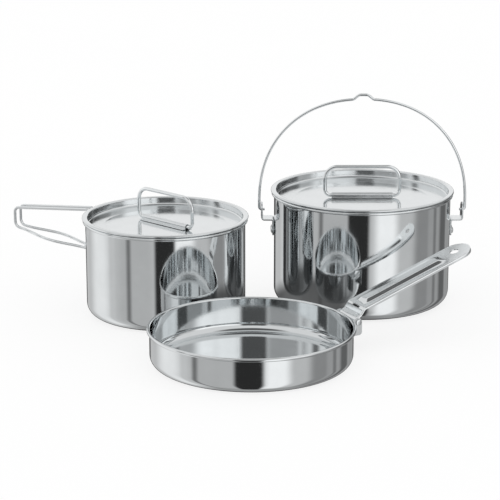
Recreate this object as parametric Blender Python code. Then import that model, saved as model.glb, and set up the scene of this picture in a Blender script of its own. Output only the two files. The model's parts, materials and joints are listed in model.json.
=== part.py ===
"""Camping cooking pot set in stainless steel: two lidded pots and a frying pan, standing apart.

The large pot hangs on a bail in two ears, the small pot has a pair of folding wire grips, and
the frying pan has a folding handle. Each lid drops into its pot and carries a folding loop.
Metres, +Z up, -Y is the front. The origin is the centre of the large pot's base.
"""

from math import acos, atan2, cos, hypot, pi, radians, sin, sqrt

import bmesh
import bpy
from mathutils import Matrix, Vector

# Sheet, wire and clearances
POT_SHEET = 0.0008
LID_SHEET = 0.0007
STRAP_SHEET = 0.0015
SEAT_GAP = 0.0003
PIVOT_PLAY = 0.0004
RIM_BEAD = 0.0032

# Large pot
LARGE_RADIUS = 0.0870
LARGE_HEIGHT = 0.1094
LARGE_CORNER = 0.0120

# Small pot
SMALL_RADIUS = 0.0774
SMALL_HEIGHT = 0.0936
SMALL_CORNER = 0.0115

# Frying pan
PAN_RADIUS = 0.0918
PAN_HEIGHT = 0.0330
PAN_CORNER = 0.0085

# Lids: a rolled edge on the pot's rim, a skirt inside the pot, a sloping ledge and a flat disc
LID_EDGE = 0.0024
LID_OVERHANG = 0.0008
LID_SKIRT_CLEARANCE = 0.0006
LID_RECESS = 0.0078
LID_FLOOR_CORNER = 0.0020
LID_LEDGE_DROP = 0.0014
LARGE_LID_DISC = 0.0665
SMALL_LID_DISC = 0.0600

# Folding loop of each lid and the keeper strap that holds it
LOOP_WIRE = 0.0036
LOOP_SPAN = 0.0734
LOOP_RISE = 0.0286
LOOP_TOP_BEND = 0.0120
LOOP_FOOT_BEND = 0.0055
KEEPER_LENGTH = 0.0600
KEEPER_SHEET = 0.0007
KEEPER_FOOT = 0.0030
LARGE_LOOP_TURN = 0.0
SMALL_LOOP_TURN = radians(-43.5)

# Bail and its ears
BAIL_WIRE = 0.0026
BAIL_PIVOT_DROP = 0.0184
BAIL_LEG = 0.0086
BAIL_RISE = 0.1018
BAIL_SQUARENESS = 2.2
BAIL_HOOK = 0.0022
BAIL_BEND = 0.0026
BAIL_SEAT_RISE = 0.0043
BAIL_SEAT_HALF = 0.0110
EAR_REACH = 0.0130
EAR_TAB_RISE = 0.0090
EAR_PLATE_DROP = 0.0163
EAR_PLATE_HALF = 0.0090
EAR_TAB_HALF = 0.0075
EAR_BEND = 0.0022
EAR_CORNER = 0.0040
STRAP_TIP_HALF = 0.0003

# Rivets of the ears and of the grip bracket
RIVET_SHANK = 0.0030
RIVET_HEAD = 0.0062
RIVET_DOME = 0.0016
RIVET_SPREAD = 0.0100
RIVET_EAR_DROP = 0.0110
DRILL_REACH = 0.0020

# Folding wire grips of the small pot and their bracket
GRIP_WIRE = 0.0028
GRIP_BEARING = radians(153.0)
GRIP_REACH = 0.0870
GRIP_HINGE_OUT = 0.0064
GRIP_SPREAD = 0.0100
GRIP_BELLY = 0.0075
GRIP_TOP_DROP = 0.0004
GRIP_TOP_SLOPE = 0.0074
GRIP_FOOT_DROP = 0.0405
GRIP_FOOT_RISE = 0.0132
GRIP_TOP_BEND = 0.0050
GRIP_LOW_BEND = 0.0065
GRIP_HINGE_BEND = 0.0034
GRIP_HINGE_TAIL = 0.0032
BRACKET_HALF = 0.0105
BRACKET_TAB_MARGIN = 0.0042
BRACKET_CORNER = 0.0030
BRACKET_BEND = 0.0018
BRACKET_RIVET_SPREAD = 0.0150

# Folding handle of the pan, its hinge pin and its bracket
HANDLE_BEARING = radians(27.0)
HANDLE_TILT = radians(19.4)
HANDLE_HALF = 0.0155
HANDLE_SHEET = 0.0012
HANDLE_RISE = 0.0086
HANDLE_LIP = 0.0030
HANDLE_LIP_LEAST = 0.00135
HANDLE_CURL_START = radians(-60)
HANDLE_CURL_END = radians(-258)
HANDLE_CREASE_PLACE = 0.0051
HANDLE_CREASE_RISE = 0.00435
HANDLE_NOSE_END = 0.0111
HANDLE_NOSE_BEND = 0.0075
HANDLE_LIP_START = 0.0100
HANDLE_LIP_GROWTH = 0.0100
HANDLE_TIP_HALF = 0.0024
HANDLE_RIB_FOOT = 0.0091
HANDLE_RIB_CREST = 0.0044
HANDLE_RIB_RISE = 0.0024
HANDLE_RIB_START = 0.0150
HANDLE_RIB_END = 0.1080
HANDLE_RIB_RAMP = 0.0060
HANDLE_HOLE = 0.0090
HANDLE_HOLE_PLACE = 0.1230
HANDLE_SLOT_LENGTH = 0.0135
HANDLE_SLOT_WIDTH = 0.0022
HANDLE_SLOT_PLACE = 0.0104
HINGE_OUT = 0.0090
HINGE_DROP = 0.0060
HINGE_PIN = 0.0030
PIN_HEAD = 0.0058
PIN_HEAD_DEPTH = 0.0012
CHEEK_ROUND = 0.0039
CHEEK_ROUND_END = radians(115)
CHEEK_FOOT_RISE = 0.0145
CHEEK_FOOT_CORNER = 0.0030
CHEEK_DEPTH = 0.0050

# Where the vessels stand
SMALL_POT_BEARING = radians(193.1)
SMALL_POT_GAP = 0.0149
PAN_TO_LARGE_GAP = 0.0451
PAN_TO_SMALL_GAP = 0.0052

# Finishes: shade and roughness of each kind of steel surface, and its cool tint
FINISHES = {
    "wall": (0.72, 0.12),
    "lid": (0.74, 0.14),
    "strap": (0.62, 0.25),
    "wire": (0.68, 0.18),
    "handle": (0.70, 0.22),
}
COOL_TINT = 1.02

# Facets
TURNED_FACETS = 48
RIVET_FACETS = 12
HOLE_FACETS = 12
ARC_STEP = radians(22.5)
BEAD_ARC_STEP = radians(50)
LID_ARC_STEP = radians(45)
KEEPER_ARC_STEP = radians(36)
CHEEK_ARC_STEP = radians(30)
SHARP_EDGE = radians(35)
WIRE_RESOLUTION = 2
STRAP_SLICES = 6
CORNER_STEPS = 3
TAB_STEPS = 5
DOME_STEPS = 3
BOW_STEPS = 12
BOW_SEAT_STEPS = 4
STRAND_STEPS = 9
SHANK_STEPS = 4
TIP_STEPS = 6

# Sizes that follow from those above
LARGE_RIM = LARGE_RADIUS - POT_SHEET + RIM_BEAD
SMALL_RIM = SMALL_RADIUS - POT_SHEET + RIM_BEAD
PAN_RIM = PAN_RADIUS - POT_SHEET + RIM_BEAD
LID_TOP = SEAT_GAP + LID_EDGE
LID_DISC_DROP = LID_RECESS + LID_LEDGE_DROP
LOOP_AXIS = SEAT_GAP + LOOP_WIRE / 2 + PIVOT_PLAY
LARGE_DISC_TOP = LARGE_HEIGHT + LID_TOP - LID_DISC_DROP
SMALL_DISC_TOP = SMALL_HEIGHT + LID_TOP - LID_DISC_DROP
BAIL_PIVOT = LARGE_HEIGHT - BAIL_PIVOT_DROP
EAR_TAB_OUTER = LARGE_RADIUS + EAR_REACH
BAIL_RADIUS = EAR_TAB_OUTER + PIVOT_PLAY + BAIL_WIRE / 2
RIVET_HOLE = RIVET_SHANK + 2 * SEAT_GAP
RIVET_GRIP = POT_SHEET + 2 * SEAT_GAP + STRAP_SHEET
GRIP_HINGE = SMALL_RADIUS + GRIP_HINGE_OUT
HINGE_RADIUS = PAN_RADIUS + HINGE_OUT
HINGE_HEIGHT = PAN_HEIGHT - HINGE_DROP
CHEEK_INNER = HANDLE_HALF + PIVOT_PLAY
CHEEK_OUTER = CHEEK_INNER + STRAP_SHEET
HANDLE_CURL = HINGE_PIN / 2 + PIVOT_PLAY + HANDLE_SHEET


def small_place():
    """Centre of the small pot: beside the large pot's bail."""
    distance = BAIL_RADIUS + BAIL_WIRE / 2 + SMALL_RIM + SMALL_POT_GAP
    return Vector((distance * cos(SMALL_POT_BEARING), distance * sin(SMALL_POT_BEARING), 0))


def pan_place():
    """Centre of the pan: clear of both pots, on the side towards the front."""
    small = small_place()
    to_large = LARGE_RIM + PAN_RIM + PAN_TO_LARGE_GAP
    to_small = SMALL_RADIUS + PAN_RIM + PAN_TO_SMALL_GAP
    apart = hypot(small.x, small.y)
    along = (apart**2 + to_large**2 - to_small**2) / (2 * apart)
    turn = atan2(small.y, small.x) + acos(along / to_large)
    return Vector((to_large * cos(turn), to_large * sin(turn), 0))


def polished_steel(name, shade, roughness):
    """One stainless finish as a Principled material."""
    colour = (shade, shade, shade * COOL_TINT, 1)
    finish = bpy.data.materials.new(name)
    finish.use_nodes = True
    shader = finish.node_tree.nodes["Principled BSDF"]
    shader.inputs["Base Color"].default_value = colour
    shader.inputs["Metallic"].default_value = 1.0
    shader.inputs["Roughness"].default_value = roughness
    finish.diffuse_color = colour
    return finish


def add_object(name, data, finish, matrix):
    """An object of the scene with its own material, placed by a matrix."""
    thing = bpy.data.objects.new(name, data)
    bpy.context.scene.collection.objects.link(thing)
    thing.matrix_world = matrix
    if finish:
        data.materials.append(finish)
    return thing


def add_mesh(name, points, faces, finish, matrix):
    """A mesh object, shaded smooth with its sharp edges kept."""
    mesh = bpy.data.meshes.new(name)
    mesh.from_pydata(points, [], faces)
    shape = bmesh.new()
    shape.from_mesh(mesh)
    bmesh.ops.recalc_face_normals(shape, faces=shape.faces)
    shape.to_mesh(mesh)
    shape.free()
    mesh.shade_smooth()
    mesh.set_sharp_from_angle(angle=SHARP_EDGE)
    return add_object(name, mesh, finish, matrix)


def arc(centre, radius, start, end, step=ARC_STEP):
    """Points of a plane arc, both ends included."""
    count = max(2, round(abs(end - start) / step))
    angles = [start + (end - start) * i / count for i in range(count + 1)]
    return [(centre[0] + radius * cos(a), centre[1] + radius * sin(a)) for a in angles]


def quarter(steps):
    """Angles of a quarter turn in equal steps, both ends included."""
    return [pi / 2 * i / steps for i in range(steps + 1)]


def shares(steps):
    """Equal shares of a length, the first step to the whole."""
    return [i / steps for i in range(1, steps + 1)]


def turned(name, outline, finish, place, facets=TURNED_FACETS):
    """A solid of revolution about the local Z axis; the outline starts and ends on that axis."""
    points = [(0, 0, outline[0][1])]
    rings = []
    for radius, height in outline[1:-1]:
        rings.append(range(len(points), len(points) + facets))
        for i in range(facets):
            turn = 2 * pi * i / facets
            points.append((radius * cos(turn), radius * sin(turn), height))
    points.append((0, 0, outline[-1][1]))
    last = len(points) - 1
    faces = []
    for i in range(facets):
        j = (i + 1) % facets
        faces.append((0, rings[0][j], rings[0][i]))
        faces.append((last, rings[-1][i], rings[-1][j]))
        for low, high in zip(rings, rings[1:]):
            faces.append((low[i], low[j], high[j], high[i]))
    return add_mesh(name, points, faces, finish, place)


def rounded(corners, bends):
    """A path through corner points in space, each inner corner turned by an arc of its bend radius."""
    path = [Vector(corners[0])]
    for before, corner, after, bend in zip(corners, corners[1:], corners[2:], bends):
        corner = Vector(corner)
        back = (Vector(before) - corner).normalized()
        ahead = (Vector(after) - corner).normalized()
        opening = back.angle(ahead)
        setback = bend / abs(sin(opening / 2)) * cos(opening / 2)
        hub = corner + (back + ahead).normalized() * bend / sin(opening / 2)
        first = corner + back * setback - hub
        second = corner + ahead * setback - hub
        sweep = first.angle(second)
        count = max(2, round(sweep / ARC_STEP))
        for i in range(count + 1):
            share = i / count
            spoke = first * sin((1 - share) * sweep) + second * sin(share * sweep)
            path.append(hub + spoke / sin(sweep))
    path.append(Vector(corners[-1]))
    return path


def wire(name, path, diameter, finish, pivot):
    """Round wire along a path; the object's origin is on its pivot axis."""
    curve = bpy.data.curves.new(name, "CURVE")
    curve.dimensions = "3D"
    curve.bevel_depth = diameter / 2
    curve.bevel_resolution = WIRE_RESOLUTION
    curve.use_fill_caps = True
    line = curve.splines.new("POLY")
    line.points.add(len(path) - 1)
    for point, place in zip(line.points, path):
        point.co = (*(place - pivot), 1)
    line.use_smooth = True
    return add_object(name, curve, finish, Matrix.Translation(pivot))


def bent_strap(name, line, half_width, sheet, finish, place):
    """Sheet strip bent along a line of (radius, height), wrapped round the local Z axis.

    half_width(radius, height) gives half the strip's width at each point of the line.
    """
    sides = []
    for i, (radius, height) in enumerate(line):
        before = line[max(i - 1, 0)]
        after = line[min(i + 1, len(line) - 1)]
        back = Vector((radius - before[0], height - before[1]))
        ahead = Vector((after[0] - radius, after[1] - height))
        back = back.normalized() if back.length else ahead.normalized()
        ahead = ahead.normalized() if ahead.length else back
        along = (back + ahead).normalized()
        offset = Vector((along.y, -along.x)) * sheet / 2 / along.dot(ahead)
        sides.append(((radius + offset.x, height + offset.y), (radius - offset.x, height - offset.y)))
    widths = [half_width(radius, height) for radius, height in line]
    loop = [(side[0], width) for side, width in zip(sides, widths)]
    loop += [(side[1], width) for side, width in reversed(list(zip(sides, widths)))]
    points = []
    for k in range(STRAP_SLICES + 1):
        for (radius, height), width in loop:
            turn = width * (2 * k / STRAP_SLICES - 1) / line[0][0]
            points.append((radius * cos(turn), radius * sin(turn), height))
    count = len(loop)
    faces = []
    for k in range(STRAP_SLICES):
        for i in range(count):
            j = (i + 1) % count
            faces.append((k * count + i, k * count + j, (k + 1) * count + j, (k + 1) * count + i))
    half = len(line)
    for base in (0, STRAP_SLICES * count):
        for i in range(half - 1):
            faces.append((base + i, base + i + 1, base + count - 2 - i, base + count - 1 - i))
    return add_mesh(name, points, faces, finish, place)


def prism(name, outline, low, high, finish, place, axis="y"):
    """An outline extruded from low to high, along local Y (outline in X and Z) or Z (in X and Y)."""
    count = len(outline)
    points = []
    for level in (low, high):
        for a, b in outline:
            points.append((a, level, b) if axis == "y" else (a, b, level))
    faces = [tuple(range(count)), tuple(range(count, 2 * count))]
    for i in range(count):
        j = (i + 1) % count
        faces.append((i, j, count + j, count + i))
    return add_mesh(name, points, faces, finish, place)


def cut(target, cutter):
    """Takes a cutter's shape out of a piece and hides the cutter."""
    cutter.hide_render = True
    cutter.display_type = "WIRE"
    tool = target.modifiers.new(cutter.name, "BOOLEAN")
    tool.object = cutter
    tool.operation = "DIFFERENCE"
    tool.solver = "EXACT"


def rod(name, radius, start, end, place):
    """A round cutter from one point to another, in the frame of a placed piece."""
    run = Vector(end) - Vector(start)
    turn = run.to_track_quat("Z", "Y").to_matrix().to_4x4()
    outline = [(0, 0), (radius, 0), (radius, run.length), (0, run.length)]
    return turned(name, outline, None, place @ Matrix.Translation(start) @ turn, HOLE_FACETS)


def vessel(name, radius, height, corner, finish, place):
    """A drawn pot or pan: flat base, rounded corner, straight wall and rolled rim."""
    bead = RIM_BEAD / 2
    bead_centre = (radius - POT_SHEET + bead, height - bead)
    meet = acos((radius - bead_centre[0]) / bead)
    hub = (radius - corner, corner)
    outline = [(0, 0)]
    outline += arc(hub, corner, -pi / 2, 0)
    outline += arc(bead_centre, bead, -meet, pi, BEAD_ARC_STEP)
    outline += arc(hub, corner - POT_SHEET, 0, -pi / 2)
    outline.append((0, POT_SHEET))
    return turned(name, outline, finish, place)


def lid(name, pot_radius, pot_rim, pot_height, disc, finish, place):
    """A drop-in lid: rolled edge, skirt, floor corner, sloping ledge and flat disc."""
    skirt = pot_radius - POT_SHEET - LID_SKIRT_CLEARANCE
    inner = skirt - LID_SHEET
    edge = LID_EDGE / 2
    seat = pot_height + SEAT_GAP
    top = seat + LID_EDGE
    corner = LID_FLOOR_CORNER
    ledge = top - LID_RECESS
    floor = ledge - LID_LEDGE_DROP
    rim = pot_rim + LID_OVERHANG
    outline = [(0, floor), (disc, floor)]
    hub = (inner - corner, ledge + corner)
    outline += arc(hub, corner, -pi / 2, 0, LID_ARC_STEP)
    outline += arc((inner + edge, seat + edge), edge, pi, pi / 2, LID_ARC_STEP)
    outline += arc((rim - edge, seat + edge), edge, pi / 2, -pi / 2, LID_ARC_STEP)
    outline.append((skirt, seat))
    outline += arc(hub, corner + LID_SHEET, 0, -pi / 2, LID_ARC_STEP)
    outline += [(disc, floor - LID_SHEET), (0, floor - LID_SHEET)]
    return turned(name, outline[::-1], finish, place)


def lid_loop(prefix, disc_top, turn, wire_finish, strap_finish, place):
    """The folding loop of one lid and the keeper strap over its foot bar."""
    frame = place @ Matrix.Translation((0, 0, disc_top)) @ Matrix.Rotation(turn, 4, "Z")
    half = LOOP_SPAN / 2
    shy = SEAT_GAP / 2
    corners = [
        (shy, 0, 0),
        (half, 0, 0),
        (half, 0, LOOP_RISE),
        (-half, 0, LOOP_RISE),
        (-half, 0, 0),
        (-shy, 0, 0),
    ]
    bends = (LOOP_FOOT_BEND, LOOP_TOP_BEND, LOOP_TOP_BEND, LOOP_FOOT_BEND)
    lift = Matrix.Translation((0, 0, LOOP_AXIS))
    path = [frame @ lift @ point for point in rounded(corners, bends)]
    pivot = (frame @ lift).translation
    wire(prefix + "_lid_loop", path, LOOP_WIRE, wire_finish, pivot)
    bore = LOOP_WIRE / 2 + PIVOT_PLAY
    outer = bore + KEEPER_SHEET
    foot = outer + KEEPER_FOOT
    base = SEAT_GAP
    outline = [(-outer, base + KEEPER_SHEET), (-foot, base + KEEPER_SHEET), (-foot, base)]
    outline += [(-bore, base)] + arc((0, LOOP_AXIS), bore, pi, 0, KEEPER_ARC_STEP) + [(bore, base)]
    outline += [(foot, base), (foot, base + KEEPER_SHEET), (outer, base + KEEPER_SHEET)]
    outline += arc((0, LOOP_AXIS), outer, 0, pi, KEEPER_ARC_STEP)
    along = frame @ Matrix.Rotation(pi / 2, 4, "Z")
    reach = KEEPER_LENGTH / 2
    prism(prefix + "_lid_keeper", outline, -reach, reach, strap_finish, along)


def rivet(name, wall, finish, frame):
    """A rivet along local X, from a flat head inside the wall to a domed head on the strap."""
    shank = RIVET_SHANK / 2
    head = RIVET_HEAD / 2
    inside = wall - POT_SHEET - SEAT_GAP
    outside = wall - POT_SHEET + RIVET_GRIP + SEAT_GAP
    flat = RIVET_DOME / 2
    dome = [(head * cos(a), outside + RIVET_DOME * sin(a)) for a in quarter(DOME_STEPS)[:-1]]
    outline = [(0, inside - flat), (head, inside - flat), (head, inside), (shank, inside), (shank, outside)]
    outline += dome + [(0, outside + RIVET_DOME)]
    lay = frame @ Matrix.Rotation(pi / 2, 4, "Y")
    turned(name, outline, finish, lay, RIVET_FACETS)


def drill(target, wall, frame, where):
    """A rivet hole through a wall and the strap on it, along local X."""
    start = (wall - POT_SHEET - DRILL_REACH, 0, 0)
    end = (wall + SEAT_GAP + STRAP_SHEET + DRILL_REACH, 0, 0)
    cut(target, rod(f"{target.name}_hole_{where}", RIVET_HOLE / 2, start, end, frame))


def large_pot(finishes, place):
    """Body, ears, rivets, bail and lid of the large pot."""
    body = vessel("large_pot_body", LARGE_RADIUS, LARGE_HEIGHT, LARGE_CORNER, finishes["wall"], place)
    arm = BAIL_PIVOT - EAR_TAB_RISE
    foot = arm - EAR_PLATE_DROP
    plate = LARGE_RADIUS + SEAT_GAP + STRAP_SHEET / 2
    tab = EAR_TAB_OUTER - STRAP_SHEET / 2
    bend = EAR_BEND

    def ear_half_width(radius, height):
        if height > BAIL_PIVOT:
            round_half = sqrt(max(EAR_TAB_HALF**2 - (height - BAIL_PIVOT) ** 2, 0))
            return max(round_half, STRAP_TIP_HALF)
        if height < foot + EAR_CORNER:
            drop = foot + EAR_CORNER - height
            return EAR_PLATE_HALF - EAR_CORNER + sqrt(max(EAR_CORNER**2 - drop**2, 0))
        share = min(max((radius - plate) / (tab - plate), 0), 1)
        return EAR_PLATE_HALF + (EAR_TAB_HALF - EAR_PLATE_HALF) * share

    line = [(plate, foot + EAR_CORNER * (1 - cos(a))) for a in quarter(CORNER_STEPS)]
    line += arc((plate + bend, arm - bend), bend, pi, pi / 2)
    line += arc((tab - bend, arm + bend), bend, -pi / 2, 0)
    line += [(tab, BAIL_PIVOT + EAR_TAB_HALF * sin(a)) for a in quarter(TAB_STEPS)]
    eye = BAIL_WIRE + 2 * PIVOT_PLAY
    level = Matrix.Translation((0, 0, arm - RIVET_EAR_DROP))
    lean = RIVET_SPREAD / 2 / LARGE_RADIUS
    for side, turn, front in (("right", 0, -lean), ("left", pi, lean)):
        frame = place @ Matrix.Rotation(turn, 4, "Z")
        ear = bent_strap(f"bail_ear_{side}", line, ear_half_width, STRAP_SHEET, finishes["strap"], frame)
        for where, offset in (("front", front), ("back", -front)):
            spot = frame @ level @ Matrix.Rotation(offset, 4, "Z")
            drill(body, LARGE_RADIUS, spot, f"{side}_{where}")
            drill(ear, LARGE_RADIUS, spot, where)
            rivet(f"ear_rivet_{side}_{where}", LARGE_RADIUS, finishes["strap"], spot)
        start = (tab - STRAP_SHEET / 2 - DRILL_REACH, 0, BAIL_PIVOT)
        end = (tab + STRAP_SHEET / 2 + DRILL_REACH, 0, BAIL_PIVOT)
        cut(ear, rod(f"bail_eye_{side}", eye / 2, start, end, frame))
    bail(finishes["wire"], place)
    disc = LARGE_LID_DISC
    lid("large_lid_plate", LARGE_RADIUS, LARGE_RIM, LARGE_HEIGHT, disc, finishes["lid"], place)
    lid_loop("large", LARGE_DISC_TOP, LARGE_LOOP_TURN, finishes["wire"], finishes["strap"], place)


def bail(finish, place):
    """The wire bail: hooked feet, straight legs and a squared bow with a seat for a pot hook."""
    hook = EAR_TAB_OUTER - STRAP_SHEET - BAIL_HOOK
    corner = [(hook, 0, 0), (BAIL_RADIUS, 0, 0), (BAIL_RADIUS, 0, BAIL_LEG)]
    foot = rounded(corner, [BAIL_BEND])
    power = 2 / BAIL_SQUARENESS
    seat = acos((BAIL_SEAT_HALF / BAIL_RADIUS) ** (1 / power))
    angles = [seat * share for share in shares(BOW_STEPS)]
    angles += [seat + (pi / 2 - seat) * share for share in shares(BOW_SEAT_STEPS)]
    bow = []
    for angle in angles:
        across = BAIL_RADIUS * cos(angle) ** power
        rise = BAIL_LEG + BAIL_RISE * sin(angle) ** power
        near = max(0, 1 - across / BAIL_SEAT_HALF)
        bow.append(Vector((across, 0, rise + BAIL_SEAT_RISE * sin(pi / 2 * near))))
    half = foot + bow
    other = [Vector((-point.x, 0, point.z)) for point in reversed(half[:-1])]
    pivot = place @ Vector((0, 0, BAIL_PIVOT))
    wire("bail", [pivot + point for point in half + other], BAIL_WIRE, finish, pivot)


def grip_path(side):
    """Centre line of one wire grip in its bracket's frame; side is 1 for the front, -1 for the back."""
    edge = side * GRIP_SPREAD / 2
    top = SMALL_HEIGHT - GRIP_TOP_DROP
    low = SMALL_HEIGHT - GRIP_FOOT_DROP
    tab_top = top - GRIP_HINGE_BEND
    tab_low = low + GRIP_HINGE_BEND
    tail = STRAP_SHEET + GRIP_HINGE_TAIL
    end = GRIP_HINGE + GRIP_REACH
    corners = [
        (GRIP_HINGE, edge, tab_top - tail),
        (GRIP_HINGE, edge, top),
        (end, edge, top - GRIP_TOP_SLOPE),
        (end, edge, low + GRIP_FOOT_RISE),
        (GRIP_HINGE, edge, low),
        (GRIP_HINGE, edge, tab_low + tail),
    ]
    bends = (GRIP_HINGE_BEND, GRIP_TOP_BEND, GRIP_LOW_BEND, GRIP_HINGE_BEND)
    loop = rounded(corners[:-1], bends[:-1])[:-1]
    foot = rounded(corners[-3:], bends[-1:])[1:]
    strand = []
    for i in range(1, STRAND_STEPS):
        share = i / STRAND_STEPS
        point = loop[-1].lerp(foot[0], share)
        point.y += side * GRIP_BELLY * sin(pi * share) ** 2
        strand.append(point)
    return loop + strand + foot


def small_pot(finishes, place):
    """Body, grip bracket, rivets, wire grips and lid of the small pot."""
    body = vessel("small_pot_body", SMALL_RADIUS, SMALL_HEIGHT, SMALL_CORNER, finishes["wall"], place)
    frame = place @ Matrix.Rotation(GRIP_BEARING, 4, "Z")
    plate = SMALL_RADIUS + SEAT_GAP + STRAP_SHEET / 2
    tab = GRIP_HINGE + BRACKET_TAB_MARGIN
    top = SMALL_HEIGHT - GRIP_TOP_DROP - GRIP_HINGE_BEND - STRAP_SHEET / 2
    low = SMALL_HEIGHT - GRIP_FOOT_DROP + GRIP_HINGE_BEND + STRAP_SHEET / 2
    bend = BRACKET_BEND

    def bracket_half_width(radius, height):
        over = max(radius - (tab - BRACKET_CORNER), 0)
        return BRACKET_HALF - BRACKET_CORNER + sqrt(max(BRACKET_CORNER**2 - over**2, 0))

    ends = [tab - BRACKET_CORNER * (1 - sin(a)) for a in quarter(CORNER_STEPS)]
    line = [(radius, low) for radius in reversed(ends)]
    line += arc((plate + bend, low + bend), bend, -pi / 2, -pi)
    line += arc((plate + bend, top - bend), bend, pi, pi / 2)
    line += [(radius, top) for radius in ends]
    bracket = bent_strap("grip_bracket", line, bracket_half_width, STRAP_SHEET, finishes["strap"], frame)
    middle = (top + low) / 2
    half = BRACKET_RIVET_SPREAD / 2
    for where, height in (("lower", middle - half), ("upper", middle + half)):
        spot = frame @ Matrix.Translation((0, 0, height))
        drill(body, SMALL_RADIUS, spot, where)
        drill(bracket, SMALL_RADIUS, spot, where)
        rivet(f"bracket_rivet_{where}", SMALL_RADIUS, finishes["strap"], spot)
    eye = GRIP_WIRE + 2 * PIVOT_PLAY
    for side, where in ((1, "front"), (-1, "back")):
        edge = side * GRIP_SPREAD / 2
        path = [frame @ point for point in grip_path(side)]
        pivot = frame @ Vector((GRIP_HINGE, edge, middle))
        wire(f"wire_grip_{where}", path, GRIP_WIRE, finishes["wire"], pivot)
        for level, height in (("upper", top), ("lower", low)):
            start = (GRIP_HINGE, edge, height - STRAP_SHEET / 2 - DRILL_REACH)
            end = (GRIP_HINGE, edge, height + STRAP_SHEET / 2 + DRILL_REACH)
            cut(bracket, rod(f"grip_eye_{where}_{level}", eye / 2, start, end, frame))
    disc = SMALL_LID_DISC
    lid("small_lid_plate", SMALL_RADIUS, SMALL_RIM, SMALL_HEIGHT, disc, finishes["lid"], place)
    lid_loop("small", SMALL_DISC_TOP, SMALL_LOOP_TURN, finishes["wire"], finishes["strap"], place)


def pan_bracket(finish, frame):
    """Bracket on the pan's wall: a curved foot plate between two cheeks that carry the hinge pin."""
    seat = PAN_RADIUS + SEAT_GAP
    clear = PAN_RIM + 2 * SEAT_GAP
    under_rim = PAN_HEIGHT - RIM_BEAD - 2 * SEAT_GAP
    back = PAN_RADIUS - CHEEK_DEPTH
    front = HINGE_RADIUS + CHEEK_ROUND
    corner = CHEEK_FOOT_CORNER
    outline = [(back, CHEEK_FOOT_RISE)]
    outline += arc((front - corner, CHEEK_FOOT_RISE + corner), corner, -pi / 2, 0, CHEEK_ARC_STEP)
    outline += arc((HINGE_RADIUS, HINGE_HEIGHT), CHEEK_ROUND, 0, CHEEK_ROUND_END, CHEEK_ARC_STEP)
    outline += [(clear, under_rim), (back, under_rim)]
    bracket = prism("pan_bracket", outline, -CHEEK_OUTER, CHEEK_OUTER, finish, frame)
    wall = [(0, 0), (seat, 0), (seat, PAN_HEIGHT), (0, PAN_HEIGHT)]
    cut(bracket, turned("pan_bracket_seat_cut", wall, None, frame))
    face = seat + STRAP_SHEET
    far = front + DRILL_REACH
    high = HINGE_HEIGHT + CHEEK_ROUND + DRILL_REACH
    slot = [(face, 0), (far, 0), (far, high), (face, high)]
    cut(bracket, prism("pan_bracket_channel_cut", slot, -CHEEK_INNER, CHEEK_INNER, None, frame))
    eye = HINGE_PIN / 2 + SEAT_GAP
    reach = CHEEK_OUTER + DRILL_REACH
    start = (HINGE_RADIUS, -reach, HINGE_HEIGHT)
    end = (HINGE_RADIUS, reach, HINGE_HEIGHT)
    cut(bracket, rod("pan_bracket_pin_cut", eye, start, end, frame))


def pan_pin(finish, frame):
    """Hinge pin with a formed head at each end."""
    end = CHEEK_OUTER + SEAT_GAP
    tip = end + PIN_HEAD_DEPTH
    shank = HINGE_PIN / 2
    head = PIN_HEAD / 2
    soft = PIN_HEAD_DEPTH / 2
    half = [(0, tip), (head - soft, tip), (head, tip - soft), (head, end), (shank, end)]
    outline = [(radius, -height) for radius, height in half] + half[::-1]
    lay = frame @ Matrix.Translation((HINGE_RADIUS, 0, HINGE_HEIGHT)) @ Matrix.Rotation(-pi / 2, 4, "X")
    turned("pan_hinge_pin", outline, finish, lay, RIVET_FACETS)


def handle_line():
    """Outer line of the handle from the curl round its pin, up the nose and out to the tip."""
    curl = arc((0, 0), HANDLE_CURL, HANDLE_CURL_START, HANDLE_CURL_END)
    crease = (HANDLE_CREASE_PLACE, 0, HANDLE_CREASE_RISE)
    corner = (HANDLE_NOSE_END, 0, HANDLE_RISE)
    nose = rounded([crease, corner, (HANDLE_RIB_START, 0, HANDLE_RISE)], [HANDLE_NOSE_BEND])
    line = [(point.x, point.z) for point in nose]
    straight = HANDLE_RIB_END - HANDLE_RIB_START - 2 * HANDLE_RIB_RAMP
    places = [HANDLE_RIB_START + HANDLE_RIB_RAMP + straight * share for share in [0] + shares(SHANK_STEPS)]
    places += [HANDLE_RIB_END, HANDLE_HOLE_PLACE]
    tip = sqrt(HANDLE_HALF**2 - HANDLE_TIP_HALF**2)
    places += [HANDLE_HOLE_PLACE + tip * sin(a) for a in quarter(TIP_STEPS)[1:]]
    return curl + line + [(place, HANDLE_RISE) for place in places]


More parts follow.
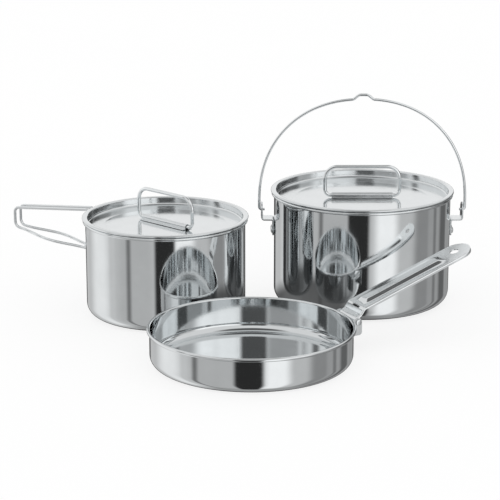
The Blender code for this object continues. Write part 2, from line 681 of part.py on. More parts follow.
def handle_section(along):
    """Section of the handle at a distance from its hinge: a flat strip with a rib and turned-down lips."""
    past = max(along - HANDLE_HOLE_PLACE, 0)
    half = sqrt(HANDLE_HALF**2 - past**2)
    narrowing = half / HANDLE_HALF
    lip = min(max((along - HANDLE_LIP_START) / HANDLE_LIP_GROWTH, 0), 1)
    drop = HANDLE_LIP_LEAST + (HANDLE_LIP - HANDLE_LIP_LEAST) * lip
    grown = min(max((along - HANDLE_RIB_START) / HANDLE_RIB_RAMP, 0), 1)
    shrunk = min(max((HANDLE_RIB_END - along) / HANDLE_RIB_RAMP, 0), 1)
    rib = HANDLE_RIB_RISE * min(grown, shrunk)
    foot = HANDLE_RIB_FOOT * narrowing
    crest = HANDLE_RIB_CREST * narrowing
    sheet = HANDLE_SHEET
    inner = half - sheet * narrowing
    edge = half - sheet / 2 * narrowing
    outer_side = [(half, -drop), (half, -sheet / 2), (edge, 0), (foot, 0), (crest, rib)]
    inner_side = [(crest, rib - sheet), (foot, -sheet), (inner, -sheet), (inner, -drop)]
    left_outer = [(-across, rise) for across, rise in reversed(outer_side)]
    left_inner = [(-across, rise) for across, rise in reversed(inner_side)]
    return outer_side + left_outer + left_inner + inner_side


def pan_handle(finish, frame):
    """Pressed handle curled round its pin, with a slot, a rib, lips and a hang hole in its round tail."""
    line = [Vector((along, 0, rise)) for along, rise in handle_line()]
    points = []
    for i, spot in enumerate(line):
        run = (line[min(i + 1, len(line) - 1)] - line[max(i - 1, 0)]).normalized()
        out = Vector((-run.z, 0, run.x))
        for across, rise in handle_section(spot.x):
            points.append(spot + out * rise + Vector((0, across, 0)))
    count = len(points) // len(line)
    faces = []
    for k in range(len(line) - 1):
        for i in range(count):
            j = (i + 1) % count
            faces.append((k * count + i, k * count + j, (k + 1) * count + j, (k + 1) * count + i))
    last = len(points) - count
    faces += [tuple(range(count)), tuple(range(last, len(points)))]
    hinge = frame @ Matrix.Translation((HINGE_RADIUS, 0, HINGE_HEIGHT))
    tilted = hinge @ Matrix.Rotation(-HANDLE_TILT, 4, "Y")
    handle = add_mesh("pan_handle", points, faces, finish, tilted)
    hang = HANDLE_HOLE_PLACE
    high = HANDLE_RISE + DRILL_REACH
    low = HANDLE_RISE - HANDLE_LIP - DRILL_REACH
    cut(handle, rod("pan_handle_hang_cut", HANDLE_HOLE / 2, (hang, 0, low), (hang, 0, high), tilted))
    across = HANDLE_SLOT_LENGTH / 2
    near = HANDLE_SLOT_PLACE - HANDLE_SLOT_WIDTH / 2
    far = HANDLE_SLOT_PLACE + HANDLE_SLOT_WIDTH / 2
    slot = [(near, -across), (far, -across), (far, across), (near, across)]
    cut(handle, prism("pan_handle_slot_cut", slot, low, high, None, tilted, axis="z"))


def frying_pan(finishes, place):
    """Body, bracket, hinge pin and folding handle of the pan."""
    vessel("pan_body", PAN_RADIUS, PAN_HEIGHT, PAN_CORNER, finishes["wall"], place)
    frame = place @ Matrix.Rotation(HANDLE_BEARING, 4, "Z")
    pan_bracket(finishes["strap"], frame)
    pan_pin(finishes["strap"], frame)
    pan_handle(finishes["handle"], frame)


def main():
    for thing in list(bpy.data.objects):
        bpy.data.objects.remove(thing, do_unlink=True)
    finishes = {}
    for kind, (shade, roughness) in FINISHES.items():
        finishes[kind] = polished_steel(f"steel_{kind}", shade, roughness)
    large_pot(finishes, Matrix.Identity(4))
    small_pot(finishes, Matrix.Translation(small_place()))
    frying_pan(finishes, Matrix.Translation(pan_place()))


main()
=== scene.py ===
"""Looks of a stainless steel camping cook set, laid out as a Blender add-on and run as a script.

Every piece of the frame gets a finer mesh of the same size and its own steel finish, and stands on
a pale floor in a soft studio. Metres, +Z up; the origin is the centre of the large pot's base.
"""

import json
from math import acos, atan2, cos, hypot, pi, radians, sin, sqrt, tau
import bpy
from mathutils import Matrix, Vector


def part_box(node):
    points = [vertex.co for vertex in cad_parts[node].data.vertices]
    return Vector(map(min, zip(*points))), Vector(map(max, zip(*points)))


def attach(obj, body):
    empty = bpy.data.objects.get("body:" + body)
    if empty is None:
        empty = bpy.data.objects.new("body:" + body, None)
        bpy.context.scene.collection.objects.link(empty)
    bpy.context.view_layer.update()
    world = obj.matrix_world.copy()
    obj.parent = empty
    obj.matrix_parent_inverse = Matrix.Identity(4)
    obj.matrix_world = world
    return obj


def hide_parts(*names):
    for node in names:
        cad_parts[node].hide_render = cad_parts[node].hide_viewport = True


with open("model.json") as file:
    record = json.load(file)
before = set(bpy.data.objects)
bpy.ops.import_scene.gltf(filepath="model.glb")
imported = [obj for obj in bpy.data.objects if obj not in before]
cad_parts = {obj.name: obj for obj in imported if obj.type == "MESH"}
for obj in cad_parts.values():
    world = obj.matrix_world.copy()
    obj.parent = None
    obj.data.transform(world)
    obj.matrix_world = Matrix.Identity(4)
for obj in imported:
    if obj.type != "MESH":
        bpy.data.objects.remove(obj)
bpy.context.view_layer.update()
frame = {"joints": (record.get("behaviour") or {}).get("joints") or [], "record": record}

from types import SimpleNamespace

import bmesh
import bpy
from bpy.props import FloatProperty, FloatVectorProperty, IntProperty, PointerProperty
from bpy.types import NodeSocket, Operator, Panel, PropertyGroup
from mathutils import Matrix, Vector

bl_info = {
    "name": "Camping cook set",
    "version": (1, 0, 0),
    "blender": (4, 5, 0),
    "location": "View3D > Sidebar > Cook set",
    "description": "Finished meshes, steel finishes and a studio for a camping cook set",
    "category": "Object",
}

# What the frame says of each node and joint
BODY_OF = {node: body for body, nodes in frame["record"]["behaviour"]["bodies"].items() for node in nodes}
SLOT_OF = {part["node"]: part["material_slot"] for part in frame["record"]["subparts"]}
JOINTS = {joint["name"]: joint for joint in frame["joints"]}

# Fineness of the meshes
ARC_STEP = radians(6)
BOW_STEP = radians(1.5)
SUPPORT = 0.0006
LEAST_RUN = 4 * SUPPORT
WIRE_STEP = 0.004
HANDLE_STEP = 0.002
WIRE_SIDES = 24
STRAP_SLICES = 20
EDGE_STEPS = 6
EASE_STEPS = 3
GROOVE_STEPS = 4
TIP_STEPS = 16
RIVET_FACETS = 48
HOLE_FACETS = 48
SHARP_EDGE = radians(40)
WELD = 1e-7

# Rounding, as shares of a wire's radius, a sheet's thickness or a lip's fold
WIRE_END_ROUND = 0.45
STRAP_EDGE = 1 / 3
KEEPER_EASE = 1 / 4
BRACKET_EASE = 1 / 5
LEAST_FOLD = 1 / 4
LIP_SHOULDER = 3 / 2

# Fullness of the bail's seat, 1 for a peak and more for a flat top, and of the hinge pin's heads
SEAT_FULLNESS = 1.4
PIN_CROWN = 0.7

# Clearances of the frame's pieces
SEAT_GAP = 0.0003
PIVOT_PLAY = 0.0004
CUT_REACH = 0.0020

# Noise of the steel: scale and detail of its clouds and waves, and detail of its streaks
CLOUDS = (60.0, 3.0)
WAVES = (22.0, 1.0)
STREAK_DETAIL = 4.0
# Shade at two places of the clouds; range of its blotches, clouds times streaks, and their roughness
CLOUD_SHADES = ((0.3, 0.965), (0.7, 1.02))
BLOTCHES = (0.1, 0.4)
BLOTCH_ROUGHNESS = (0.7, 1.4)
# How much the grain is drawn out, round a turned piece and along a strip
ROUND_STRETCH = 0.02
LONG_STRETCH = 0.03
# Zones of another finish: a lid's edge begins at a share of the lid's height, and the handle's tail at
# a distance from its pin; on the tail the colour is also lightened, a painted highlight
RIM_ZONE = (0.72, 0.80)
TAIL_HIGHLIGHT_ZONE = (0.106, 0.116)

# Soft panels round the set: name, azimuth from the front towards +X, half width and soft edge in
# degrees, then the brightness below the horizon, which walls mirror, and above it, which lids mirror
STUDIO_PANELS = (
    ("left fill", -107, 20, 14, 0.97, 1.00),
    ("left gap", -81, 5, 4, 0.66, 0.16),
    ("front left", -42, 25, 8, 0.53, 0.45),
    ("right gap", 84, 16, 10, 0.30, 0.55),
    ("key edge", 54, 12, 8, 0.60, 1.30),
    ("key", 29, 14, 7, 1.10, 1.25),
    ("right wall", 108, 14, 4, 0.38, 0.12),
    ("right seam", 107, 3, 2, 0.22, 0.12),
    ("rear gap", 129, 10, 4, 0.14, 0.06),
    ("rear wall", 150, 12, 6, 0.34, 0.05),
    ("rear dark", -179, 20, 5, 0.05, 0.95),
)
# Brightness between the panels, below and above the horizon, and how softly the two meet
ROOM_LOW = 0.60
ROOM_HIGH = 0.95
HORIZON_BLUR = 0.06
# Layers over the panels: name, the mirrored ray's rise where it begins and is full, and its brightness
ROOM_LAYERS = (
    ("nadir", -0.82, -0.95, 0.38),
    ("sky", 0.30, 0.50, 0.82),
    ("zenith", 0.92, 0.97, 0.12),
)
# Upright cards that only polished steel mirrors: name, where its edges stand, the width of its soft
# edge, and its brightness below and above the floor's level
STUDIO_CARDS = (
    ("camera_card", (-0.535, -1.28), (0.200, -1.28), 0.13, 0.03, 0.11),
    ("left_post", (-0.850, -0.49), (-0.750, -0.63), 0.085, 0.20, 0.80),
)
# Reach of the cards below and above the floor's level, and how softly the two parts meet
CARD_DEPTH = 3.0
CARD_RISE = 0.8
CARD_BLUR = 0.04
# Painted shadow: a dark patch of floor between the vessels, standing in for the shade there, which only
# polished steel mirrors
PATCH_PLACE = (-0.100, -0.075)
PATCH_RADIUS = 0.130
PATCH_CORE = 0.070
PAINTED_SHADOW_LEVEL = 0.04
PATCH_COVER = 0.88
# Noise of the studio: scale and detail, and the range that the patch uses
PATCH_NOISE = (9.0, 2.0)
PATCH_RANGE = (0.3, 0.7)
FLOOR_NOISE = (3.0, 2.0)


def length(value, text):
    """A size in metres."""
    return FloatProperty(default=value, description=text, precision=5, unit="LENGTH")


def angle(value, text):
    """An angle, given in degrees."""
    return FloatProperty(default=radians(value), description=text, subtype="ANGLE")


def share(value, text):
    """A factor from nothing to all."""
    return FloatProperty(default=value, description=text, min=0, max=1, subtype="FACTOR")


def finish(shade, roughness, text):
    """Shade and roughness of a steel finish."""
    return FloatVectorProperty(default=(shade, roughness), description=text, size=2, min=0, max=1)


class CookSetVessels(PropertyGroup):
    """Sizes of the drawn pots and the pan."""

    sheet: length(0.0008, "Sheet thickness")
    bead: length(0.0032, "Diameter of the rolled rim")
    large_corner: length(0.012, "Radius at the large pot's base")
    small_corner: length(0.0115, "Radius at the small pot's base")
    pan_corner: length(0.0085, "Radius at the pan's base")
    facets: IntProperty(default=256, min=24, description="Facets round a vessel")


class CookSetLids(PropertyGroup):
    """Sizes of the drop-in lids."""

    sheet: length(0.0007, "Sheet thickness")
    edge: length(0.0024, "Rolled edge's thickness")
    overhang: length(0.0008, "Edge beyond the pot's rim")
    clearance: length(0.0006, "Gap from skirt to wall")
    recess: length(0.0078, "Ledge below the edge")
    corner: length(0.002, "Radius from skirt to ledge")
    ledge_drop: length(0.0014, "Disc below the ledge")
    large_disc: length(0.0665, "Radius of the large disc")
    small_disc: length(0.06, "Radius of the small disc")


class CookSetLoops(PropertyGroup):
    """Sizes of the folding lid loops and their keepers."""

    wire: length(0.0036, "Wire diameter")
    span: length(0.0734, "Width between wire centres")
    rise: length(0.0286, "Height above the foot bar")
    top_bend: length(0.012, "Bend of the upper corners")
    foot_bend: length(0.0055, "Bend of the lower corners")
    keeper: length(0.06, "Keeper's length")
    sheet: length(0.0007, "Keeper's thickness")
    foot: length(0.003, "Width of the keeper's feet")


class CookSetBail(PropertyGroup):
    """Sizes of the bail and its ears."""

    wire: length(0.0026, "Wire diameter")
    leg: length(0.0086, "Straight leg above the pivot")
    rise: length(0.1018, "Bow above the legs")
    squareness: FloatProperty(default=2.2, description="Exponent of the bow, 2 for round")
    hook: length(0.0022, "Foot's reach through the ear")
    bend: length(0.0026, "Bend of the foot")
    seat_rise: length(0.0043, "Height of the hook's seat")
    seat_half: length(0.011, "Half the seat's width")
    strap: length(0.0015, "Ear's thickness")
    reach: length(0.013, "Tab's reach from the wall")
    tab_rise: length(0.009, "Pivot above the arm")
    plate_drop: length(0.0163, "Plate below the arm")
    plate_half: length(0.009, "Half the plate's width")
    tab_half: length(0.0075, "Half the tab's width")
    ear_bend: length(0.0022, "Bends of the ear")
    corner: length(0.004, "Plate's corner")
    rivet_spread: length(0.01, "Distance between rivets")
    rivet_drop: length(0.011, "Rivets below the arm")


class CookSetRivets(PropertyGroup):
    """Sizes of the rivets."""

    shank: length(0.003, "Shank's diameter")
    head: length(0.0062, "Heads' diameter")
    dome: length(0.0016, "Domed head's height")


class CookSetGrips(PropertyGroup):
    """Sizes of the small pot's wire grips and their bracket."""

    wire: length(0.0028, "Wire diameter")
    reach: length(0.087, "Length from the hinge")
    belly: length(0.0075, "Lower strand's swell sideways")
    top_drop: length(0.0004, "Upper strand below the rim")
    top_slope: length(0.0074, "Upper strand's fall")
    foot_drop: length(0.0405, "Lower foot below the rim")
    foot_rise: length(0.0132, "Lower strand's rise")
    top_bend: length(0.005, "Bend at the upper end")
    low_bend: length(0.0065, "Bend at the lower end")
    hinge_bend: length(0.0034, "Bend into the hinge")
    tail: length(0.0032, "Foot's reach past its tab")
    strap: length(0.0015, "Bracket's thickness")
    half: length(0.0105, "Half the bracket's width")
    margin: length(0.0042, "Tab beyond the hinge")
    corner: length(0.003, "Tabs' corner")
    bend: length(0.0018, "Bend from plate to tab")
    rivet_spread: length(0.015, "Distance between rivets")


class CookSetHandle(PropertyGroup):
    """Sizes of the pan's folding handle, its pin and its bracket; places are distances from the pin."""

    tilt: angle(19.4, "Rise of the open handle")
    half: length(0.0155, "Half the width")
    sheet: length(0.0012, "Sheet thickness")
    rise: length(0.0086, "Face above the pin")
    lip: length(0.003, "Depth of the turned-down lips")
    lip_least: length(0.00135, "Lips' depth at the nose")
    lip_start: length(0.01, "Where the lips grow")
    lip_growth: length(0.01, "Length of that growth")
    fold: length(0.0014, "Lips' outer radius")
    curl_start: angle(-60, "Start of the curl round the pin")
    curl_end: angle(-258, "End of the curl, at the nose")
    crease_place: length(0.0051, "Where the nose creases")
    crease_rise: length(0.00435, "Crease above the pin")
    crease_depth: length(0.0006, "Depth of the crease's groove")
    crease_half: length(0.0008, "Half the groove's width")
    nose_end: length(0.0111, "Where nose meets face")
    nose_bend: length(0.0075, "Bend from nose to face")
    tip_half: length(0.001, "Half the width at the tip")
    rib_foot: length(0.0091, "Half the rib's foot")
    rib_crest: length(0.0044, "Half the rib's crest")
    rib_rise: length(0.0024, "Rib's height")
    rib_start: length(0.015, "Where the rib begins")
    rib_end: length(0.108, "Where the rib ends")
    rib_ramp: length(0.006, "Rib's sloping ends")
    hole: length(0.009, "Hang hole's diameter")
    hole_place: length(0.123, "Where the hole is")
    slot_length: length(0.0135, "Slot's length")
    slot_width: length(0.0022, "Slot's width")
    slot_place: length(0.0104, "Where the slot is")
    pin: length(0.003, "Pin's diameter")
    pin_head: length(0.0058, "Pin heads' diameter")
    pin_depth: length(0.0012, "Pin heads' depth")
    strap: length(0.0015, "Bracket's thickness")
    cheek_round: length(0.0039, "Cheeks' radius round the pin")
    cheek_end: angle(115, "End of the cheeks' round")
    cheek_depth: length(0.005, "Blank's depth behind the wall")
    foot_rise: length(0.0145, "Height of the lower edge")
    foot_corner: length(0.003, "Corner of the lower edge")


class CookSetFinishes(PropertyGroup):
    """Tint of the steel, and shade and roughness of each slot."""

    tint: FloatVectorProperty(
        default=(0.972, 1.0, 1.012), description="Colour cast of the steel", min=0, max=2, subtype="COLOR"
    )
    wall: finish(0.76, 0.06, "Polished walls")
    lid: finish(0.77, 0.12, "Lids")
    strap: finish(0.78, 0.16, "Ears, brackets and rivets")
    wire: finish(0.86, 0.07, "Drawn wire")
    handle: finish(0.83, 0.13, "The pan's handle")


class CookSetStudio(PropertyGroup):
    """Camera and floor."""

    lens: FloatProperty(default=138.2, description="Focal length in millimetres", unit="CAMERA")
    place: FloatVectorProperty(
        default=(-0.1107, -1.8437, 0.551), description="Camera's place", subtype="TRANSLATION", unit="LENGTH"
    )
    pitch: angle(74.77, "Camera's turn up from straight down")
    floor_radius: length(4.0, "Radius of the round floor")
    floor_shade: share(0.97, "Brightness of the floor")
    floor_glow: share(0.80, "Share that stays white in shadow")


class CookSet(PropertyGroup):
    """All settings of the cook set."""

    vessels: PointerProperty(type=CookSetVessels)
    lids: PointerProperty(type=CookSetLids)
    loops: PointerProperty(type=CookSetLoops)
    bail: PointerProperty(type=CookSetBail)
    rivets: PointerProperty(type=CookSetRivets)
    grips: PointerProperty(type=CookSetGrips)
    handle: PointerProperty(type=CookSetHandle)
    finishes: PointerProperty(type=CookSetFinishes)
    studio: PointerProperty(type=CookSetStudio)


def evenly(start, end, count):
    """Values from start to end in equal steps, both included."""
    return [start + (end - start) * i / count for i in range(count + 1)]


def quarter(count):
    """Angles of a quarter turn in equal steps, both ends included."""
    return evenly(0, pi / 2, count)


def oval(centre, across, rise, turns):
    """Points of an ellipse at the given angles."""
    return [(centre[0] + across * cos(turn), centre[1] + rise * sin(turn)) for turn in turns]


def arc(centre, radius, start, end, step=ARC_STEP):
    """Points of a plane arc, both ends included."""
    count = max(3, round(abs(end - start) / step))
    return oval(centre, radius, radius, evenly(start, end, count))


def smooth(value):
    """Eases a share from 0 to 1."""
    value = min(max(value, 0), 1)
    return value * value * (3 - 2 * value)


def cornered(half, corner, over):
    """Half a width, rounded off where it runs over the start of its corner."""
    return half - corner + sqrt(max(corner**2 - max(over, 0) ** 2, 0))


def supported(outline):
    """The outline with points near both ends of each straight run, which keep it straight."""
    path = [outline[0]]
    for (r0, z0), (r1, z1) in zip(outline, outline[1:]):
        run = hypot(r1 - r0, z1 - z0)
        if run > LEAST_RUN:
            near = SUPPORT / run
            path.append((r0 + (r1 - r0) * near, z0 + (z1 - z0) * near))
            path.append((r1 + (r0 - r1) * near, z1 + (z0 - z1) * near))
        if run > 0:
            path.append((r1, z1))
    return path


def rounded(corners, bends):
    """A path through corner points in space, each inner corner turned by an arc of its bend."""
    path = [Vector(corners[0])]
    for before, corner, after, bend in zip(corners, corners[1:], corners[2:], bends):
        corner = Vector(corner)
        back = (Vector(before) - corner).normalized()
        ahead = (Vector(after) - corner).normalized()
        opening = back.angle(ahead)
        setback = bend / sin(opening / 2) * cos(opening / 2)
        hub = corner + (back + ahead).normalized() * bend / sin(opening / 2)
        first = corner + back * setback - hub
        second = corner + ahead * setback - hub
        sweep = first.angle(second)
        for part in evenly(0, 1, max(3, round(sweep / ARC_STEP))):
            spoke = first * sin((1 - part) * sweep) + second * sin(part * sweep)
            path.append(hub + spoke / sin(sweep))
    path.append(Vector(corners[-1]))
    return path


def spaced(path):
    """The same path with long runs divided into short steps."""
    points = [path[0]]
    for start, end in zip(path, path[1:]):
        count = max(1, round((end - start).length / WIRE_STEP))
        points += [start.lerp(end, i / count) for i in range(1, count + 1)]
    return points


def headings(path):
    """Unit directions along a path, at each of its points."""
    ends = [path[0], *path, path[-1]]
    return [(after - before).normalized() for before, after in zip(ends, ends[2:])]


def tidy_mesh(mesh):
    """Faces outwards, smooth shading and sharp folds."""
    shape = bmesh.new()
    shape.from_mesh(mesh)
    bmesh.ops.remove_doubles(shape, verts=shape.verts, dist=WELD)
    bmesh.ops.recalc_face_normals(shape, faces=shape.faces)
    shape.to_mesh(mesh)
    shape.free()
    mesh.shade_smooth()
    mesh.set_sharp_from_angle(angle=SHARP_EDGE)


def add_mesh(name, points, faces):
    """A mesh object in the scene."""
    mesh = bpy.data.meshes.new(name)
    mesh.from_pydata(points, [], faces)
    thing = bpy.data.objects.new(name, mesh)
    bpy.context.scene.collection.objects.link(thing)
    return thing


def add_piece(points, faces, place):
    """A tidy mesh object at its place; it gets its name when it stands for a node."""
    piece = add_mesh("piece", points, faces)
    tidy_mesh(piece.data)
    piece.matrix_world = place
    return piece


def turned(outline, place, facets):
    """A solid of revolution about the local Z axis; the outline starts and ends on that axis."""
    outline = supported(outline)
    turns = evenly(0, tau, facets)[:-1]
    points = [(0, 0, outline[0][1])]
    rings = []
    for radius, height in outline[1:-1]:
        rings.append(range(len(points), len(points) + facets))
        points += [(radius * cos(turn), radius * sin(turn), height) for turn in turns]
    points.append((0, 0, outline[-1][1]))
    last = len(points) - 1
    faces = []
    for i in range(facets):
        j = (i + 1) % facets
        faces.append((0, rings[0][j], rings[0][i]))
        faces.append((last, rings[-1][i], rings[-1][j]))
        for low, high in zip(rings, rings[1:]):
            faces.append((low[i], low[j], high[j], high[i]))
    return add_piece(points, faces, place)


def loft(sections, place):
    """A solid through closed sections of equally many points, with flat ends."""
    count = len(sections[0])
    points = [point for section in sections for point in section]
    faces = [tuple(range(count)), tuple(range(len(points) - count, len(points)))]
    for start in range(0, len(points) - count, count):
        for i in range(count):
            j = (i + 1) % count
            faces.append((start + i, start + j, start + count + j, start + count + i))
    return add_piece(points, faces, place)


def swept(path, diameter, pivot):
    """Round wire along a path with softened ends; its origin is on the pivot."""
    path = spaced(path)
    radius = diameter / 2
    soft = radius * WIRE_END_ROUND
    first, *_, last = headings(path)
    path[0] = path[0] + first * soft
    path[-1] = path[-1] - last * soft
    ends = oval((0, radius - soft), soft, soft, quarter(EDGE_STEPS)[:-1])
    stations = [(path[0] - first * away, reach) for away, reach in ends]
    stations += [(point, radius) for point in path]
    stations += [(path[-1] + last * away, reach) for away, reach in reversed(ends)]
    ahead = first
    side = first.orthogonal().normalized()
    sections = []
    for (centre, reach), along in zip(stations, headings([centre for centre, _ in stations])):
        side = ahead.rotation_difference(along) @ side
        ahead = along
        cross = along.cross(side)
        ring = []
        for turn in evenly(0, tau, WIRE_SIDES)[:-1]:
            ring.append(centre - pivot + (side * cos(turn) + cross * sin(turn)) * reach)
        sections.append(ring)
    return loft(sections, Matrix.Translation(pivot))


def strap(line, half_width, sheet, place):
    """Sheet strip with eased edges, bent along a line of (radius, height) and wrapped round local Z.

    half_width(radius, height) gives half the strip's width at each point of the line.
    """
    sections = []
    for (radius, height), along in zip(line, headings([Vector(point) for point in line])):
        out = Vector((along.y, -along.x))
        half = half_width(radius, height)
        edge = min(sheet * STRAP_EDGE, half / 2)
        flat = half - edge
        face = evenly(-flat, flat, STRAP_SLICES)
        nose = oval((flat, 0), edge, sheet / 2, evenly(-pi / 2, pi / 2, 2 * EDGE_STEPS)[1:-1])
        loop = [(across, -sheet / 2) for across in face] + nose
        loop += [(-across, -through) for across, through in loop]
        ring = []
        for across, through in loop:
            turn = across / line[0][0]
            reach = radius + out.x * through
            ring.append((reach * cos(turn), reach * sin(turn), height + out.y * through))
        sections.append(ring)
    return loft(sections, place)


def prism(outline, low, high, place, axis="y"):
    """An outline extruded from low to high, along local Y (outline in X and Z) or Z (in X and Y)."""
    sections = []
    for level in (low, high):
        sections.append([(a, level, b) if axis == "y" else (a, b, level) for a, b in outline])
    return loft(sections, place)


def rod(radius, start, end, place):
    """A round cutter from one point to another, in the frame of a placed piece."""
    run = Vector(end) - Vector(start)
    lay = Matrix.Translation(start) @ run.to_track_quat("Z", "Y").to_matrix().to_4x4()
    outline = [(0, 0), (radius, 0), (radius, run.length), (0, run.length)]
    return turned(outline, place @ lay, HOLE_FACETS)


def carve(piece, cutters):
    """Takes the cutters' shapes out of a piece and removes the cutters."""
    for cutter in cutters:
        tool = piece.modifiers.new("cut", "BOOLEAN")
        tool.object = cutter
        tool.operation = "DIFFERENCE"
        tool.solver = "EXACT"
    graph = bpy.context.evaluated_depsgraph_get()
    mesh = bpy.data.meshes.new_from_object(piece.evaluated_get(graph))
    piece.modifiers.clear()
    piece.data = mesh
    tidy_mesh(mesh)
    for cutter in cutters:
        bpy.data.objects.remove(cutter, do_unlink=True)


def ease(piece, width):
    """Rounds the sharp folds of a pressed piece."""
    bevel = piece.modifiers.new("eased edges", "BEVEL")
    bevel.width = width
    bevel.segments = EASE_STEPS
    bevel.limit_method = "ANGLE"
    bevel.angle_limit = SHARP_EDGE
    bevel.harden_normals = True


def add_node(tree, kind, inputs=(), **settings):
    """A shader node with its settings, and its inputs linked or set."""
    node = tree.nodes.new(kind)
    for key, value in settings.items():
        setattr(node, key, value)
    for key, value in dict(inputs).items():
        if isinstance(value, NodeSocket):
            tree.links.new(value, node.inputs[key])
        else:
            node.inputs[key].default_value = value
    return node


def maths(tree, operation, *values):
    """A math node's result."""
    return add_node(tree, "ShaderNodeMath", enumerate(values), operation=operation).outputs[0]


def remap(tree, value, low, high, to_low=0.0, to_high=1.0, easing="LINEAR"):
    """A value's place between low and high, laid between two other values."""
    inputs = enumerate((value, low, high, to_low, to_high))
    return add_node(tree, "ShaderNodeMapRange", inputs, interpolation_type=easing).outputs[0]


def blend(tree, part, first, second):
    """From a first value to a second one, by a share."""
    return remap(tree, part, 0.0, 1.0, first, second)


def noise(tree, vector, scale, detail):
    """Fractal noise along a vector."""
    inputs = {"Vector": vector, "Scale": scale, "Detail": detail}
    return add_node(tree, "ShaderNodeTexNoise", inputs).outputs[0]


def axes_of(tree, kind="Object"):
    """Coordinates of a kind, as a vector and one by one."""
    place = add_node(tree, "ShaderNodeTexCoord").outputs[kind]
    return place, add_node(tree, "ShaderNodeSeparateXYZ", {"Vector": place}).outputs


def vector_of(tree, x, y, z):
    """A vector from its three parts."""
    return add_node(tree, "ShaderNodeCombineXYZ", {"X": x, "Y": y, "Z": z}).outputs[0]


def turned_grain(tree):
    """Coordinates that run fine across a turned surface and slowly round it."""
    place, axes = axes_of(tree)
    bearing = maths(tree, "ARCTAN2", axes[1], axes[0])
    squares = maths(tree, "ADD", maths(tree, "POWER", axes[0], 2.0), maths(tree, "POWER", axes[1], 2.0))
    reach = maths(tree, "SQRT", squares)
    return place, vector_of(tree, maths(tree, "MULTIPLY", bearing, ROUND_STRETCH), reach, axes[2])


def lengthwise_grain(tree):
    """Coordinates that run slowly along local X and fine across it."""
    place, axes = axes_of(tree)
    return place, vector_of(tree, maths(tree, "MULTIPLY", axes[0], LONG_STRETCH), axes[1], axes[2])


def even_grain(tree):
    """Coordinates without a direction."""
    place, _ = axes_of(tree)
    return place, place


def rim_zone(tree):
    """1 on a lid's rolled edge, at the top of its own height, and 0 below it."""
    _, axes = axes_of(tree, "Generated")
    return remap(tree, axes[2], *RIM_ZONE)


def tail_highlight_zone(tree):
    """1 on the handle's tail, where its colour gets a painted highlight, and 0 along its shank."""
    _, axes = axes_of(tree)
    return remap(tree, axes[0], *TAIL_HIGHLIGHT_ZONE)


# Each slot's steel: its grain with scale and depth, the depth of the sheet's wave, and its zone of
# another finish with the gain in brightness there (a painted highlight) and in roughness there
STEELS = {
    "wall": (turned_grain, 900.0, 0.0000006, 0.00003, None, 1.0, 1.0),
    "lid": (turned_grain, 900.0, 0.0000008, 0.00002, rim_zone, 1.0, 0.35),
    "strap": (even_grain, 700.0, 0.000012, 0.00003, None, 1.0, 1.0),
    "wire": (even_grain, 500.0, 0.000004, 0.00001, None, 1.0, 1.0),
    # The handle's tail is lightened 1.16 times: a painted highlight
    "handle": (lengthwise_grain, 900.0, 0.000003, 0.00003, tail_highlight_zone, 1.16, 3.0),
}


def steel(slot, finishes):
    """Stainless steel of a slot: cloudy shade, streaky roughness, fine grain and a faint wave."""
    name = f"steel_{slot}"
    material = bpy.data.materials.get(name)
    if material:
        return material
    material = bpy.data.materials.new(name)
    material.use_nodes = True
    tree = material.node_tree
    shader = tree.nodes["Principled BSDF"].inputs
    shader["Metallic"].default_value = 1.0
    shade, roughness = getattr(finishes, slot)
    grain, scale, grain_depth, wave_depth, zone, highlight_gain, rougher = STEELS[slot]
    place, streaks = grain(tree)
    cloud = noise(tree, place, *CLOUDS)
    streak = noise(tree, streaks, scale, STREAK_DETAIL)
    ramp = add_node(tree, "ShaderNodeValToRGB", {"Fac": cloud})
    for stop, (position, factor) in zip(ramp.color_ramp.elements, CLOUD_SHADES):
        stop.position = position
        stop.color = (*(shade * factor * part for part in finishes.tint), 1)
    inside = zone(tree) if zone else 0.0
    # In a zone with a gain, the colour is scaled up: a painted highlight on the handle's tail
    inputs = {0: ramp.outputs["Color"], "Scale": blend(tree, inside, 1.0, highlight_gain)}
    colour = add_node(tree, "ShaderNodeVectorMath", inputs, operation="SCALE").outputs[0]
    tree.links.new(colour, shader["Base Color"])
    blotch = maths(tree, "MULTIPLY", cloud, streak)
    rough = remap(tree, blotch, *BLOTCHES, *(roughness * factor for factor in BLOTCH_ROUGHNESS))
    rough = maths(tree, "MULTIPLY", rough, blend(tree, inside, 1.0, rougher))
    tree.links.new(rough, shader["Roughness"])
    inputs = {"Height": noise(tree, place, *WAVES), "Distance": wave_depth, "Strength": 1.0}
    swell = add_node(tree, "ShaderNodeBump", inputs).outputs[0]
    inputs = {"Height": streak, "Distance": grain_depth, "Strength": 1.0, "Normal": swell}
    tree.links.new(add_node(tree, "ShaderNodeBump", inputs).outputs[0], shader["Normal"])
    material.diffuse_color = (shade, shade, shade, 1)
    return material


def stands_for(piece, node):
    """A finished piece takes the place of a CAD node, with its body, slot and finish."""
    piece.name = f"{node}_finished"
    piece.data.name = piece.name
    slot = SLOT_OF[node]
    piece.data.materials.clear()
    piece.data.materials.append(steel(slot, bpy.context.scene.cook_set.finishes))
    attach(piece, BODY_OF[node])
    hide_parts(node)


def pivot_of(joint):
    """A point on a joint's axis."""
    return Vector(JOINTS[joint]["pos_m"])


def vessel_of(node, vessels):
    """Place and radii of a vessel, read from its CAD node."""
    low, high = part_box(node)
    axis = Vector(((low.x + high.x) / 2, (low.y + high.y) / 2, 0))
    rim = (high.x - low.x) / 2
    wall = rim - vessels.bead + vessels.sheet
    return SimpleNamespace(axis=axis, place=Matrix.Translation(axis), rim=rim, wall=wall, height=high.z)


def facing(pot, point):
    """A vessel's frame turned towards a point, and the point's radius and height in it."""
    offset = point - pot.axis
    lay = pot.place @ Matrix.Rotation(atan2(offset.y, offset.x), 4, "Z")
    return lay, hypot(offset.x, offset.y), offset.z


